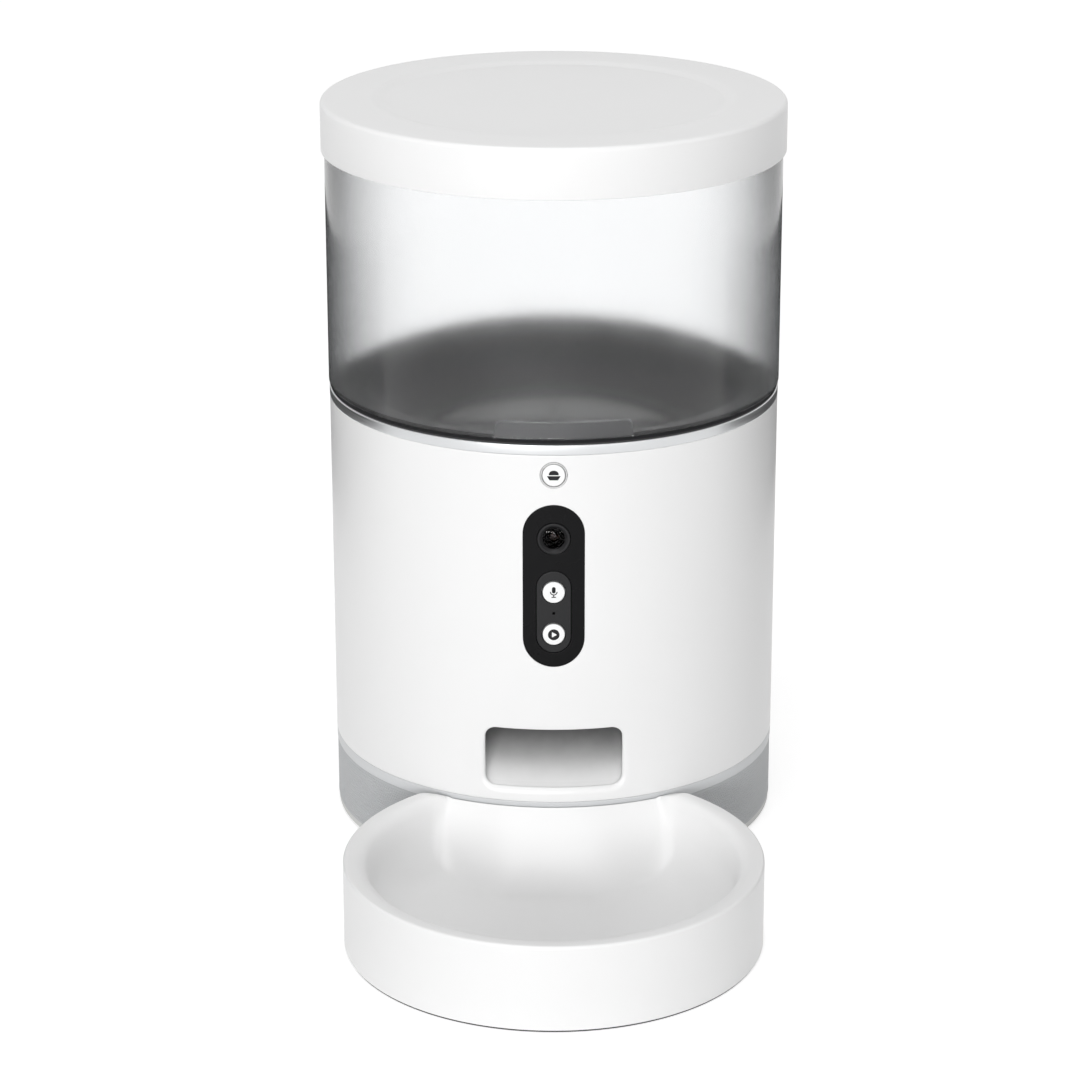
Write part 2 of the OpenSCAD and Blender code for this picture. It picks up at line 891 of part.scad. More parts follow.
// Domed front glass of the lens, turned about the line of sight
module lens_glass() {
    rim_t = 1.1;
    dome = 0.9;
    ball_r = (lens_d * lens_d / 4 + dome * dome) / (2 * dome);
    half_angle = asin(lens_d / 2 / ball_r);
    color("dimgray")
        tower()
            translate([0, face_y + 2, lens_z])
                rotate([90, 0, 0])
                    rotate_extrude()
                        polygon(concat(
                            [[0, 0], [lens_d / 2, 0]],
                            arc([0, rim_t + dome - ball_r], ball_r, 90 - half_angle, 90)
                        ));
}

module lens_barrel() {
    color("black")
        tower()
            rod(lens_ring_d / 2 - 0.5, face_y + 2, board_y - 4, lens_z);
}

module image_sensor() {
    size = 13;
    color("dimgray")
        tower()
            translate([-size / 2, board_y - 4, lens_z - size / 2])
                cube([size, 4, size]);
}

// Upright board behind the camera panel
module front_board() {
    color("darkgreen")
        tower()
            difference() {
                translate([-board_w / 2, board_y, board_low])
                    cube([board_w, board_t, board_top - board_low]);
                for (z = post_zs)
                    for (side = [-1, 1])
                        rod(small_screw_r + fit, board_y - 1, board_y + board_t + 1, z, side * post_x);
            }
}

module board_screws() {
    head_y = board_y + board_t;
    color("silver")
        tower()
            for (z = post_zs)
                for (side = [-1, 1]) {
                    rod(small_screw_r, board_y - small_screw_in, head_y, z, side * post_x);
                    rod(2 * small_screw_r, head_y, head_y + small_head_h, z, side * post_x);
                }
}

// Switches on the board, one behind each button
module button_switches() {
    size = 6;
    color("gray")
        tower()
            for (z = [record_z, play_z, feed_z]) {
                translate([-size / 2, board_y - switch_t, z - size / 2])
                    cube([size, switch_t, size]);
                rod(stem_r, board_y - switch_t - switch_knob, board_y - switch_t, z);
            }
}

module button_panel() {
    color("dimgray")
        tower()
            difference() {
                wall_patch(body_r - 0.1, panel_back)
                    pill(button_panel_w - 2 * fit, button_panel_h - 2 * fit, button_panel_z, -reach, 0);
                for (z = [record_z, play_z])
                    rod(button_d / 2 + play, -reach, 0, z);
                rod(0.6, -reach, 0, microphone_z);
            }
}

// Button with a cap, a flange behind the wall that it shows through, and a stem to its switch
module push_button(d, z, wall_back) {
    flange_y = -sqrt(wall_back * wall_back - pow(d / 2 + cap_flange_r, 2)) + play;
    rod(d / 2, face_y - proud, flange_y + cap_flange_t / 2, z);
    rod(d / 2 + cap_flange_r, flange_y, flange_y + cap_flange_t, z);
    rod(stem_r, flange_y + cap_flange_t / 2, stem_end, z);
}

module record_button() {
    color("white")
        tower()
            push_button(button_d, record_z, panel_back);
}

module play_button() {
    color("white")
        tower()
            push_button(button_d, play_z, panel_back);
}

module feed_button() {
    color("white")
        tower()
            push_button(feed_d, feed_z, shell_in);
}

module feed_ring() {
    color("gray")
        tower()
            difference() {
                wall_patch(body_r + 0.1, shell_in)
                    rod(feed_d / 2 + feed_ring_w + fit, -reach, 0, feed_z);
                rod(feed_d / 2 + play, -reach, 0, feed_z);
            }
}

module microphone() {
    color("silver")
        tower()
            rod(2.2, board_y - 2, board_y, microphone_z);
}

module pale_ring() {
    color("lightgray")
        tower()
            tube(body_r - 0.1, skirt_in, skirt_top, base_h);
}

module speaker_skirt() {
    color("darkgray")
        tower()
            difference() {
                tube(skirt_out, skirt_in, foot_h + lip_h, skirt_top);
                rod(inlet_nose_r + fit, 0, reach, inlet_z);
            }
}

// Base plate with its upright rim, screw columns, board stands and the cradle of the speaker
module base_plate() {
    cradle_w = speaker_d + 3;
    color("lightgray")
        tower()
            difference() {
                union() {
                    disc(lip_r, foot_h, foot_h + lip_h);
                    tube(base_out, base_in, foot_h, base_h + spigot_h - fit);
                    around(column_angles, column_ring)
                        disc(column_d / 2, foot_h, base_h + spigot_h);
                    for (x = [-1, 1])
                        for (y = [0, 1])
                            translate([x * (main_board_w / 2 - stand_inset), stand_y(y), 0])
                                disc(3.4, foot_h, main_board_z);
                    translate([speaker_x, -cradle_w / 2, plate_top - 0.5])
                        cube([speaker_t, cradle_w, speaker_z - plate_top]);
                }
                tube(reach, base_out, foot_h + lip_h, reach);
                translate([speaker_x - 1, 0, speaker_z])
                    rotate([0, 90, 0])
                        cylinder(r = speaker_d / 2 + fit / 2, h = speaker_t + 2);
                around(foot_angles, foot_ring)
                    disc(foot_d / 2 + fit, foot_h - 1, foot_h + foot_seat);
                around(column_angles, column_ring) {
                    disc(screw_head_d / 2 + fit, foot_h - 1, foot_h + screw_head_h + fit);
                    disc(screw_d / 2 + fit, 0, reach);
                }
                for (x = [-1, 1])
                    for (y = [0, 1])
                        translate([x * (main_board_w / 2 - stand_inset), stand_y(y), 0])
                            disc(small_screw_r + fit / 2, plate_top, main_board_z + 1);
                rod(inlet_nose_r + fit, 0, reach, inlet_z);
            }
}

// Place of the board's stands from front (0) to back (1)
function stand_y(step) = main_board_y + stand_inset + step * (main_board_d - 2 * stand_inset);

module base_screws() {
    color("silver")
        tower()
            around(column_angles, column_ring)
                translate([0, 0, foot_h + fit])
                    screw(base_h + spigot_h + frame_boss_h - foot_h - screw_head_h - 4);
}

module base_feet() {
    color("dimgray")
        tower()
            around(foot_angles, foot_ring)
                disc(foot_d / 2, 0, foot_h + foot_seat);
}

module speaker_frame() {
    color("black")
        tower()
            translate([speaker_x, 0, speaker_z])
                rotate([0, 90, 0])
                    difference() {
                        cylinder(d = speaker_d, h = speaker_t);
                        translate([0, 0, -1])
                            cylinder(d = speaker_d - 2 * speaker_rim, h = 5);
                    }
}

// Paper cone of the speaker, with its point to the back
module speaker_cone() {
    cone_depth = 4;
    cone_edge = 1;
    cone_t = 0.8;
    cone_r = speaker_d / 2 - speaker_rim - fit;
    color("dimgray")
        tower()
            translate([speaker_x, 0, speaker_z])
                rotate([0, 90, 0])
                    rotate_extrude()
                        polygon([
                            [0, cone_depth - cone_t], [cone_r / 3, cone_depth - cone_t],
                            [cone_r, cone_edge], [cone_r, cone_edge + cone_t],
                            [cone_r / 3, cone_depth], [0, cone_depth]
                        ]);
}

module main_board() {
    color("darkgreen")
        tower()
            difference() {
                translate([-main_board_w / 2, main_board_y, main_board_z])
                    cube([main_board_w, main_board_d, board_t]);
                for (x = [-1, 1])
                    for (y = [0, 1])
                        translate([x * (main_board_w / 2 - stand_inset), stand_y(y), 0])
                            disc(small_screw_r + fit, 0, reach);
            }
}

module main_board_screws() {
    top = main_board_z + board_t;
    length = board_t + small_screw_in - 1;
    color("silver")
        tower()
            for (x = [-1, 1])
                for (y = [0, 1])
                    translate([x * (main_board_w / 2 - stand_inset), stand_y(y), top + small_head_h])
                        mirror([0, 0, 1])
                            screw(length, small_screw_r, 2 * small_screw_r, small_head_h);
}

module radio_module() {
    color("silver")
        tower()
            translate([-22, main_board_y + 12, main_board_z + board_t])
                cube([18, 24, 3]);
}

// Socket for the power plug, in the back of the base
module power_inlet() {
    back = base_in - 0.6;
    color("black")
        tower()
            difference() {
                union() {
                    translate([-inlet_w / 2, back - inlet_depth, inlet_z - inlet_w / 2])
                        cube([inlet_w, inlet_depth, inlet_w]);
                    rod(inlet_nose_r, back - 1, skirt_out, inlet_z);
                }
                difference() {
                    rod(inlet_bore_r, back - inlet_depth + 3, reach, inlet_z);
                    rod(inlet_pin_r, 0, skirt_out - 1.5, inlet_z);
                }
            }
}

// Half section of the bowl, from its outside over the rim and down to its floor
function bowl_section() =
    let (
        rim_in = bowl_r - rim_w,
        wall_in = rim_in - dish_edge - dish_slope,
        floor_r = wall_in - dish_round
    )
    concat(
        [[bowl_r - bowl_wall, bowl_z], [bowl_r, bowl_z], [bowl_r, bowl_h - rim_edge]],
        [[bowl_r - rim_edge, bowl_h], [rim_in, bowl_h], [rim_in - dish_edge, bowl_h - dish_edge]],
        arc([floor_r, bowl_floor + dish_round], dish_round, 0, -90),
        [[0, bowl_floor], [0, bowl_floor - bowl_wall], [floor_r, bowl_floor - bowl_wall]],
        arc([floor_r, bowl_floor + dish_round], dish_round + bowl_wall, -90, 0),
        [[rim_in - dish_edge + bowl_wall / 2, bowl_h - dish_edge - bowl_wall]],
        [[bowl_r - bowl_wall, bowl_h - dish_edge - bowl_wall]]
    );

// Half section of a slope round the body: an arc from a narrow land at the bowl's back edge down to its floor
function slope_section(length, low, shift) =
    let (
        run = length - hump_land,
        lean = atan(hump_h / run),
        r = norm([run, hump_h]) / (2 * sin(hump_bend)),
        from = 270 - lean - hump_bend,
        top = [bowl_back_r + hump_land, hump_top] - shift,
        inside = bowl_back_r - length / 4
    )
    concat(
        [[inside, low], [inside, top.y]],
        arc(top - polar(r, from), r, from, from + 2 * hump_bend),
        [[top.x + run, low]]
    );

// Hump of the bowl: a short slope along the whole back edge, and a long one that a cone narrows to the front
module hump(low, shift = [0, 0], inset = 0) {
    foot = hump_w / 2 - inset;
    rise = hump_h + 1;
    crown = foot - rise / tan(flank_lean);
    tower()
        rotate_extrude()
            polygon(slope_section(back_reach, low - 0.2, shift + [0, 0.3]));
    intersection() {
        tower()
            rotate_extrude()
                polygon(slope_section(hump_reach, low, shift));
        translate([0, tower_y - bowl_back_r, bowl_floor])
            rotate_extrude()
                polygon([[0, -reach], [foot, -reach], [foot, 0], [crown, rise], [0, rise]]);
    }
}

// Bowl: a dish in a round wall, with its back cut to the base and a hump that the food slides down
module feeding_bowl() {
    color("white")
        difference() {
            union() {
                translate([0, bowl_y, 0])
                    rotate_extrude()
                        polygon(bowl_section());
                intersection() {
                    translate([0, bowl_y, 0])
                        disc(bowl_r - 0.5, bowl_z, max(bowl_h, hump_top));
                    union() {
                        tower()
                            disc(bowl_back_r + bowl_wall, bowl_z, hump_top - 1);
                        hump(bowl_floor - bowl_wall / 2);
                    }
                }
                translate([0, bowl_y, 0])
                    around(bowl_foot_angles, bowl_foot_ring)
                        disc(bowl_foot_d / 2, bowl_z, bowl_floor - bowl_wall / 2);
            }
            tower()
                disc(bowl_back_r, -1, reach);
            difference() {
                intersection() {
                    hump(-1, slope_wall, flank_wall);
                    translate([0, bowl_y, 0])
                        disc(bowl_r - bowl_wall, -1, reach);
                }
                tower()
                    disc(bowl_back_r + bowl_wall, -2, reach);
            }
        }
}

module bowl_feet() {
    color("dimgray")
        translate([0, bowl_y, 0])
            around(bowl_foot_angles, bowl_foot_ring)
                disc(bowl_foot_d / 2 - 0.5, 0, bowl_z);
}

lid_cover();
lid_plug();
lid_seal();
food_container();
container_gasket();
hopper_tray();
hopper_tab();
trim_ring();
body_shell();
top_deck();
rotor_housing();
housing_screws();
rotor();
rotor_tips();
rotor_cap();
drive_shaft();
shaft_bush();
rotor_gear();
drive_pinion();
pinion_shaft();
motor_gearbox();
drive_motor();
motor_screws();
mid_frame();
frame_screws();
discharge_chute();
camera_panel();
lens_ring();
lens_glass();
lens_barrel();
image_sensor();
front_board();
board_screws();
button_switches();
button_panel();
record_button();
play_button();
feed_button();
feed_ring();
microphone();
pale_ring();
speaker_skirt();
base_plate();
base_screws();
base_feet();
speaker_frame();
speaker_cone();
main_board();
main_board_screws();
radio_module();
power_inlet();
feeding_bowl();
bowl_feet();
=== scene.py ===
import math

import bpy
import numpy as np
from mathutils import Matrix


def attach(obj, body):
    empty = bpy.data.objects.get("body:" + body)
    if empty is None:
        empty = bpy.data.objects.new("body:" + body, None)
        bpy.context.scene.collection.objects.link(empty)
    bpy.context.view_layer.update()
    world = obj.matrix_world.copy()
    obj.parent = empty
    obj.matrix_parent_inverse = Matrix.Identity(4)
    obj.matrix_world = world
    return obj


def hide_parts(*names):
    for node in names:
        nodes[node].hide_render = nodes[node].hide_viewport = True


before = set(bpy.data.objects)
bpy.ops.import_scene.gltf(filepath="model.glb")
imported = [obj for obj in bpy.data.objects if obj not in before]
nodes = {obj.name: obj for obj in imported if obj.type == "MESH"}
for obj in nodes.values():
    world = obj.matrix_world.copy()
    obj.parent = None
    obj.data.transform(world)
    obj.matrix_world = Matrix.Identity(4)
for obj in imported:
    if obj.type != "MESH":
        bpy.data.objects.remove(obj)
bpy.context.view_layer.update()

# Camera: a long lens at the photograph's place, straight in front of the feeder and looking a little down.
# The picture's frame lies slightly left of and below the line of sight, which the two shifts give.
def link(piece):
    """Puts an object into the scene."""
    bpy.context.scene.collection.objects.link(piece)
    return piece


LOOK_DOWN = 19.05
camera_data = bpy.data.cameras.new("photo_camera")
camera_data.sensor_width = 36.0
camera_data.lens = 116.84
camera_data.shift_x = -0.01273
camera_data.shift_y = -0.00745
camera = link(bpy.data.objects.new("photo_camera", camera_data))
camera.location = (0.0, -1.3617, 0.6146)
camera.rotation_euler = (math.radians(90.0 - LOOK_DOWN), 0.0, 0.0)
bpy.context.scene.camera = camera


# Studio: a pale floor that runs out to white, an even grey sky, soft lamps in front of the feeder and a weak one
# behind it. The floor and the sky are white to the eye, in reflections and through the clear bin; only the floor's
# own matt coat takes the shadow. Two dark flags stand behind, and show only in glossy surfaces.
def fresh(name):
    """New material with its node tree and its shader."""
    material = bpy.data.materials.new(name)
    material.use_nodes = True
    return material, material.node_tree, material.node_tree.nodes["Principled BSDF"]


def give(node, values):
    """Sets the plain values of a node's inputs."""
    for socket, value in values.items():
        node.inputs[socket].default_value = value


def add(tree, kind, values={}, **settings):
    """New node of a kind, with its settings and the plain values of its inputs."""
    node = tree.nodes.new("ShaderNode" + kind)
    for setting, value in settings.items():
        setattr(node, setting, value)
    give(node, values)
    return node


def wire(tree, *joins):
    """Joins nodes; each join gives a node with its output and a node with its input."""
    for source, output, target, socket in joins:
        tree.links.new(source.outputs[output], target.inputs[socket])


def grey(level):
    """Neutral colour without transparency."""
    return level, level, level, 1.0


def white_share(tree):
    """Node whose value is 1 for camera, glossy and transmission rays and 0 for all others."""
    rays, first, second = add(tree, "LightPath"), add(tree, "Math"), add(tree, "Math", use_clamp=True)
    wire(
        tree,
        (rays, "Is Camera Ray", first, 0), (rays, "Is Glossy Ray", first, 1), (first, 0, second, 0),
        (rays, "Is Transmission Ray", second, 1),
    )
    return second


def card(name, corners, material):
    """Flat piece of the studio with four corners."""
    mesh = bpy.data.meshes.new(name)
    mesh.from_pydata(corners.tolist(), [], [(0, 1, 2, 3)])
    mesh.materials.append(material)
    return link(bpy.data.objects.new(name, mesh))


bpy.context.scene.view_settings.view_transform = "Standard"
SKY_LIGHT = 0.45
sky = bpy.data.worlds.new("studio_sky")
sky.use_nodes = True
bpy.context.scene.world = sky
sky_tree = sky.node_tree
sky_dim = sky_tree.nodes["Background"]
give(sky_dim, {"Color": grey(1.0), "Strength": SKY_LIGHT})
sky_white = add(sky_tree, "Background", {"Color": grey(1.0), "Strength": 1.0})
sky_mix = add(sky_tree, "MixShader")
wire(
    sky_tree,
    (white_share(sky_tree), 0, sky_mix, "Fac"), (sky_dim, 0, sky_mix, 1), (sky_white, 0, sky_mix, 2),
    (sky_mix, 0, sky_tree.nodes["World Output"], "Surface"),
)

FLOOR_GLOW, FLOOR_HALF = 0.7, 6.0
floor_coat, floor_tree, _ = fresh("studio_floor")
floor_tree.nodes.clear()
floor_matt = add(floor_tree, "BsdfDiffuse", {"Color": grey(0.8)})
floor_thin = add(floor_tree, "BsdfDiffuse", {"Color": grey(0.5)})
floor_glow = add(floor_tree, "Emission", {"Strength": FLOOR_GLOW})
floor_seen, floor_mix = add(floor_tree, "AddShader"), add(floor_tree, "MixShader")
floor_out = add(floor_tree, "OutputMaterial")
wire(
    floor_tree,
    (floor_thin, 0, floor_seen, 0), (floor_glow, 0, floor_seen, 1),
    (white_share(floor_tree), 0, floor_mix, "Fac"), (floor_matt, 0, floor_mix, 1),
    (floor_seen, 0, floor_mix, 2), (floor_mix, 0, floor_out, "Surface"),
)
floor_corners = FLOOR_HALF * np.array([[-1, -1, 0], [1, -1, 0], [1, 1, 0], [-1, 1, 0]], float)
card("studio_floor", floor_corners, floor_coat)

FLAG_TALL = 0.16
flag_corners = np.array([[0.13, 0.62, 0.0], [0.58, 0.06, 0.0], [0.58, 0.06, FLAG_TALL], [0.13, 0.62, FLAG_TALL]])
flag_coat, _, flag_shader = fresh("dark_flag")
give(flag_shader, {"Base Color": grey(0.02), "Roughness": 1.0})
for side in (-1.0, 1.0):
    flag = card("dark_flag", flag_corners * [side, 1.0, 1.0], flag_coat)
    flag.visible_camera = flag.visible_diffuse = flag.visible_transmission = flag.visible_shadow = False

LAMP_AIM = np.array([0.0, 0.0, 0.16])
for lamp_name, watts, wide, tall, place in (
    ("key_lamp", 80.0, 2.4, 0.85, (-0.85, -3.8, 0.72)),
    ("fill_lamp", 3.0, 1.0, 0.5, (1.2, -2.0, 0.5)),
    ("top_lamp", 11.4, 1.0, 1.0, (-0.2, -0.6, 1.9)),
    ("back_lamp", 24.0, 2.4, 0.85, (0.85, 3.8, 0.9)),
):
    lamp_data = bpy.data.lights.new(lamp_name, "AREA")
    lamp_data.energy = watts
    lamp_data.shape = "RECTANGLE"
    lamp_data.size, lamp_data.size_y = wide, tall
    lamp = link(bpy.data.objects.new(lamp_name, lamp_data))
    lamp.location = place
    aim = LAMP_AIM - np.array(place)
    lamp.rotation_euler = (math.atan2(np.hypot(aim[0], aim[1]), -aim[2]), 0.0, math.atan2(-aim[0], aim[1]))
    lamp.visible_camera = False
    # The lamp behind would glare on the lid.
    lamp.visible_glossy = lamp_name != "back_lamp"


# Base plate: a moulded tray of pale plastic with an upright rim and screw columns, closed from below by four
# screws, and standing on four rubber feet that are pressed into round seats.
def node_group(name, inputs, outputs):
    """Empty shader group with the given sockets, and its input and output nodes."""
    group = bpy.data.node_groups.new(name, "ShaderNodeTree")
    for socket, kind in inputs.items():
        group.interface.new_socket(name=socket, in_out="INPUT", socket_type="NodeSocket" + kind)
    for socket, kind in outputs.items():
        group.interface.new_socket(name=socket, in_out="OUTPUT", socket_type="NodeSocket" + kind)
    return group, group.nodes.new("NodeGroupInput"), group.nodes.new("NodeGroupOutput")


def moulded_skin():
    """Group for moulded plastic: cloudy noise shifts the colour and roughness a little, and fine noise is the
    grain."""
    group, given, made = node_group(
        "moulded_skin",
        {"Colour": "Color", "Roughness": "Float", "Grain": "Float", "Mottle": "Float"},
        {"Colour": "Color", "Roughness": "Float", "Height": "Float"},
    )
    place = add(group, "TexCoord")
    cloud = add(group, "TexNoise", {"Scale": 45.0, "Detail": 3.0})
    grain = add(group, "TexNoise", {"Detail": 2.0})
    centred = add(group, "Math", {1: 0.5}, operation="SUBTRACT")
    share = add(group, "Math", {2: 1.0}, operation="MULTIPLY_ADD")
    tint = add(group, "VectorMath", operation="SCALE")
    rough = add(group, "Math", {1: 0.12}, operation="MULTIPLY_ADD")
    wire(
        group,
        (place, "Object", cloud, "Vector"), (place, "Object", grain, "Vector"),
        (given, "Grain", grain, "Scale"), (cloud, "Fac", centred, 0), (centred, 0, share, 0),
        (given, "Mottle", share, 1), (given, "Colour", tint, 0), (share, 0, tint, "Scale"),
        (centred, 0, rough, 0), (given, "Roughness", rough, 2), (tint, 0, made, "Colour"),
        (rough, 0, made, "Roughness"), (grain, "Fac", made, "Height"),
    )
    return group


skin_group = moulded_skin()
GRAIN_DEPTH = 0.0002


def moulded(name, colour, roughness, grain=2200.0, mottle=0.04, relief=0.06, **plain):
    """Plastic or rubber from the moulded skin: its colour and roughness vary a little and its grain is a bump.
    Further values are set on the shader's own sockets."""
    material, tree, shader = fresh(name)
    look = {"Colour": (*colour, 1.0), "Roughness": roughness, "Grain": grain, "Mottle": mottle}
    skin = add(tree, "Group", look, node_tree=skin_group)
    bump = add(tree, "Bump", {"Strength": relief, "Distance": GRAIN_DEPTH})
    wire(
        tree,
        (skin, "Colour", shader, "Base Color"), (skin, "Roughness", shader, "Roughness"),
        (skin, "Height", bump, "Height"), (bump, "Normal", shader, "Normal"),
    )
    give(shader, {socket.replace("_", " "): value for socket, value in plain.items()})
    return material


def coat(material, *names):
    """Gives CAD nodes their finish."""
    for name in names:
        nodes[name].data.materials.clear()
        nodes[name].data.materials.append(material)


MM = 0.001
TOWER_Y = 68.4 * MM
base_plastic = moulded("base_plastic", (0.62, 0.62, 0.61), 0.5)
black_rubber = moulded("black_rubber", (0.025, 0.025, 0.026), 0.7, grain=1500.0, relief=0.25)
steel = moulded("zinc_steel", (0.62, 0.62, 0.6), 0.32, grain=5000.0, mottle=0.15, Metallic=1.0)
coat(base_plastic, "base_plate")
coat(black_rubber, "base_feet")
coat(steel, "base_screws")


# Inside the base: the green main board on its stands, the shielded radio module, and the speaker with its
# paper cone in a steel frame. The drive motor, its gearbox and the gear pair sit higher, under the frame plate.
def circuit_board():
    """Solder mask over copper: a brick pattern of tracks, a little lighter than the board between them."""
    material, tree, shader = fresh("circuit_board")
    place, tracks = add(tree, "TexCoord"), add(tree, "TexBrick", {"Scale": 220.0, "Mortar Size": 0.06})
    give(tracks, {"Color1": (0.008, 0.075, 0.03, 1.0), "Color2": (0.01, 0.095, 0.04, 1.0)})
    give(tracks, {"Mortar": (0.03, 0.16, 0.07, 1.0)})
    wire(tree, (place, "Object", tracks, "Vector"), (tracks, "Color", shader, "Base Color"))
    give(shader, {"Roughness": 0.35})
    return material


board_green = circuit_board()
dark_plastic = moulded("dark_plastic", (0.03, 0.031, 0.033), 0.42, relief=0.1)
grey_paper = moulded("grey_paper", (0.09, 0.09, 0.09), 0.85, grain=3500.0, mottle=0.25, relief=0.4)
nylon = moulded("gear_nylon", (0.78, 0.77, 0.72), 0.4)
bronze = moulded("sintered_bronze", (0.55, 0.36, 0.16), 0.42, grain=6000.0, mottle=0.3, relief=0.3, Metallic=1.0)
switch_grey = moulded("switch_grey", (0.2, 0.2, 0.2), 0.45)
coat(board_green, "main_board", "front_board")
coat(steel, "radio_module", "main_board_screws", "speaker_frame", "drive_motor", "motor_screws", "frame_screws")
coat(steel, "housing_screws", "board_screws", "drive_shaft", "pinion_shaft", "microphone")
coat(grey_paper, "speaker_cone")
coat(dark_plastic, "power_inlet", "motor_gearbox", "image_sensor")
coat(nylon, "rotor_gear", "drive_pinion")
coat(bronze, "shaft_bush")
coat(switch_grey, "button_switches")


# Speaker skirt: a round wall of grey plastic with a plain border above and below, and between them the
# fine punched dots that let the sound out. It stands on the lip of the base plate.
MERGE_STEP = 2e-7


def closed_mesh(name, points, faces, material, slot, body, *stands_for, sharp=35.0):
    """Piece from points and quads: doubles are merged, flat quads dropped, and the faces turned outwards, which
    is the way round that gives the closed form a positive volume."""
    points = np.asarray(points, float).reshape(-1, 3)
    keys = np.round(points / MERGE_STEP).astype(np.int64)
    _, first, where = np.unique(keys, axis=0, return_index=True, return_inverse=True)
    points = points[first]
    faces = where.reshape(-1)[np.asarray(faces)]
    a, b, c, d = (points[faces[:, k]] for k in range(4))
    if np.einsum("ij,ij->i", a, np.cross(b, c) + np.cross(c, d)).sum() < 0:
        faces = faces[:, ::-1]
    loose = [list(dict.fromkeys(face)) for face in faces.tolist()]
    mesh = bpy.data.meshes.new(name)
    mesh.from_pydata(points.tolist(), [], [face for face in loose if len(face) > 2])
    mesh.validate()
    mesh.polygons.foreach_set("use_smooth", np.ones(len(mesh.polygons), bool))
    mesh.set_sharp_from_angle(angle=math.radians(sharp))
    mesh.materials.append(material)
    piece = link(bpy.data.objects.new(name, mesh))
    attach(piece, body)
    if stands_for:
        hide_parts(*stands_for)
    return piece


def grid_faces(rows, columns, wrap_rows=False, wrap_columns=True):
    """Quads of a grid of points numbered row by row; a wrapped direction joins its end to its start."""
    r = np.arange(rows if wrap_rows else rows - 1)[:, None]
    c = np.arange(columns if wrap_columns else columns - 1)[None, :]
    r1, c1 = (r + 1) % rows, (c + 1) % columns
    quads = np.stack([r * columns + c, r * columns + c1, r1 * columns + c1, r1 * columns + c], axis=-1)
    return quads.reshape(-1, 4)


def rounded(corners, radii, steps=7):
    """Closed outline with round corners: each corner becomes the arc that touches both of its sides, whose ends
    lie radius over the tangent of half the corner's angle away from it."""
    corners, radii = np.asarray(corners, float), np.asarray(radii, float)[:, None]
    before, after = np.roll(corners, 1, axis=0) - corners, np.roll(corners, -1, axis=0) - corners
    before /= np.linalg.norm(before, axis=1, keepdims=True)
    after /= np.linalg.norm(after, axis=1, keepdims=True)
    half = np.arccos(np.clip((before * after).sum(1, keepdims=True), -1, 1)) / 2
    middle = before + after
    middle /= np.linalg.norm(middle, axis=1, keepdims=True)
    centre = corners + middle * radii / np.sin(half)
    start = corners + before * radii / np.tan(half) - centre
    end = corners + after * radii / np.tan(half) - centre
    turn = (np.pi - 2 * half)[:, None, :]
    share = np.linspace(0, 1, steps)[None, :, None]
    sweep = np.sin((1 - share) * turn) * start[:, None] + np.sin(share * turn) * end[:, None]
    return (centre[:, None] + sweep / np.sin(turn)).reshape(-1, 2)


def box_section(inner, outer, low, high, radii):
    """Section of a flat ring between two radii and two levels; the corners' radii start at the inner low one."""
    return rounded([[inner, low], [outer, low], [outer, high], [inner, high]], radii)


def joined(*parts):
    """Points and faces of several forms as one list of each."""
    count = np.cumsum([0] + [len(points) for points, faces in parts])
    return np.concatenate([points for points, faces in parts]), np.concatenate(
        [faces + start for (points, faces), start in zip(parts, count)]
    )


def pill_hole(z, half_w, half_h=0.0):
    """Slot with round ends in the middle of a wall at a height; without a half height it is a round hole."""
    return 0.0, z, half_w, max(half_w, half_h), half_w


def slot_reach(angle, half_w, half_h, corner):
    """Distance from the middle of a slot with round corners to its edge along an angle: to a straight side
    where the ray meets it between the corners, and otherwise to the corner's circle."""
    c, s = np.abs(np.cos(angle)), np.abs(np.sin(angle))
    side = np.minimum(half_w / np.maximum(c, 1e-9), half_h / np.maximum(s, 1e-9))
    cx, cy = half_w - corner, half_h - corner
    along = c * cx + s * cy
    curved = along + np.sqrt(np.maximum(along**2 - cx**2 - cy**2 + corner**2, 0))
    return np.where((side * c > cx) & (side * s > cy), curved, side)


def round_wall(x, z, radius, side):
    """Points of the round wall at a sideways place and a height: side is -1 on its front and 1 on its back."""
    return np.stack([x, TOWER_Y + side * np.sqrt(radius**2 - x**2), z], axis=-1)


def pierced_cell(outline, hole, side, radii, lip, bands=10):
    """Part of a round wall between an outline and a slot in it. Rows run from the outline over the outside to
    the slot, round its lip, through the wall, and back over the inside; each column follows one ray."""
    x0, z0, half_w, half_h, corner = hole
    ray = np.arctan2(outline[:, 1] - z0, outline[:, 0] - x0)
    lip = lip(ray) if callable(lip) else np.full(len(ray), lip)

    def edge(grow):
        """The slot's edge along the rays, moved outwards."""
        reach = slot_reach(ray, half_w + grow, half_h + grow, corner + grow)
        return np.stack([x0 + reach * np.cos(ray), z0 + reach * np.sin(ray)], axis=-1)

    share = np.linspace(0, 1, bands)[:, None, None]
    outside = outline * (1 - share) + edge(lip) * share
    turn = np.linspace(0, np.pi / 2, 9)[1:, None]
    rim = np.stack([edge(lip * (1 - np.sin(t))) for t in turn])
    inside = outline * share[1:] + edge(0 * lip) * (1 - share[1:])
    depth = np.minimum(lip, 0.92 * (radii[0] - radii[1]))
    sink = np.array([0.0, -side, 0.0]) * (depth * (1 - np.cos(turn)))[..., None]
    rows = np.concatenate([
        round_wall(outside[..., 0], outside[..., 1], radii[0], side),
        round_wall(rim[..., 0], rim[..., 1], radii[0], side) + sink,
        round_wall(edge(0 * lip)[None, :, 0], edge(0 * lip)[None, :, 1], radii[1], side),
        round_wall(inside[..., 0], inside[..., 1], radii[1], side),
    ])
    return rows.reshape(-1, 3), grid_faces(*rows.shape[:2])


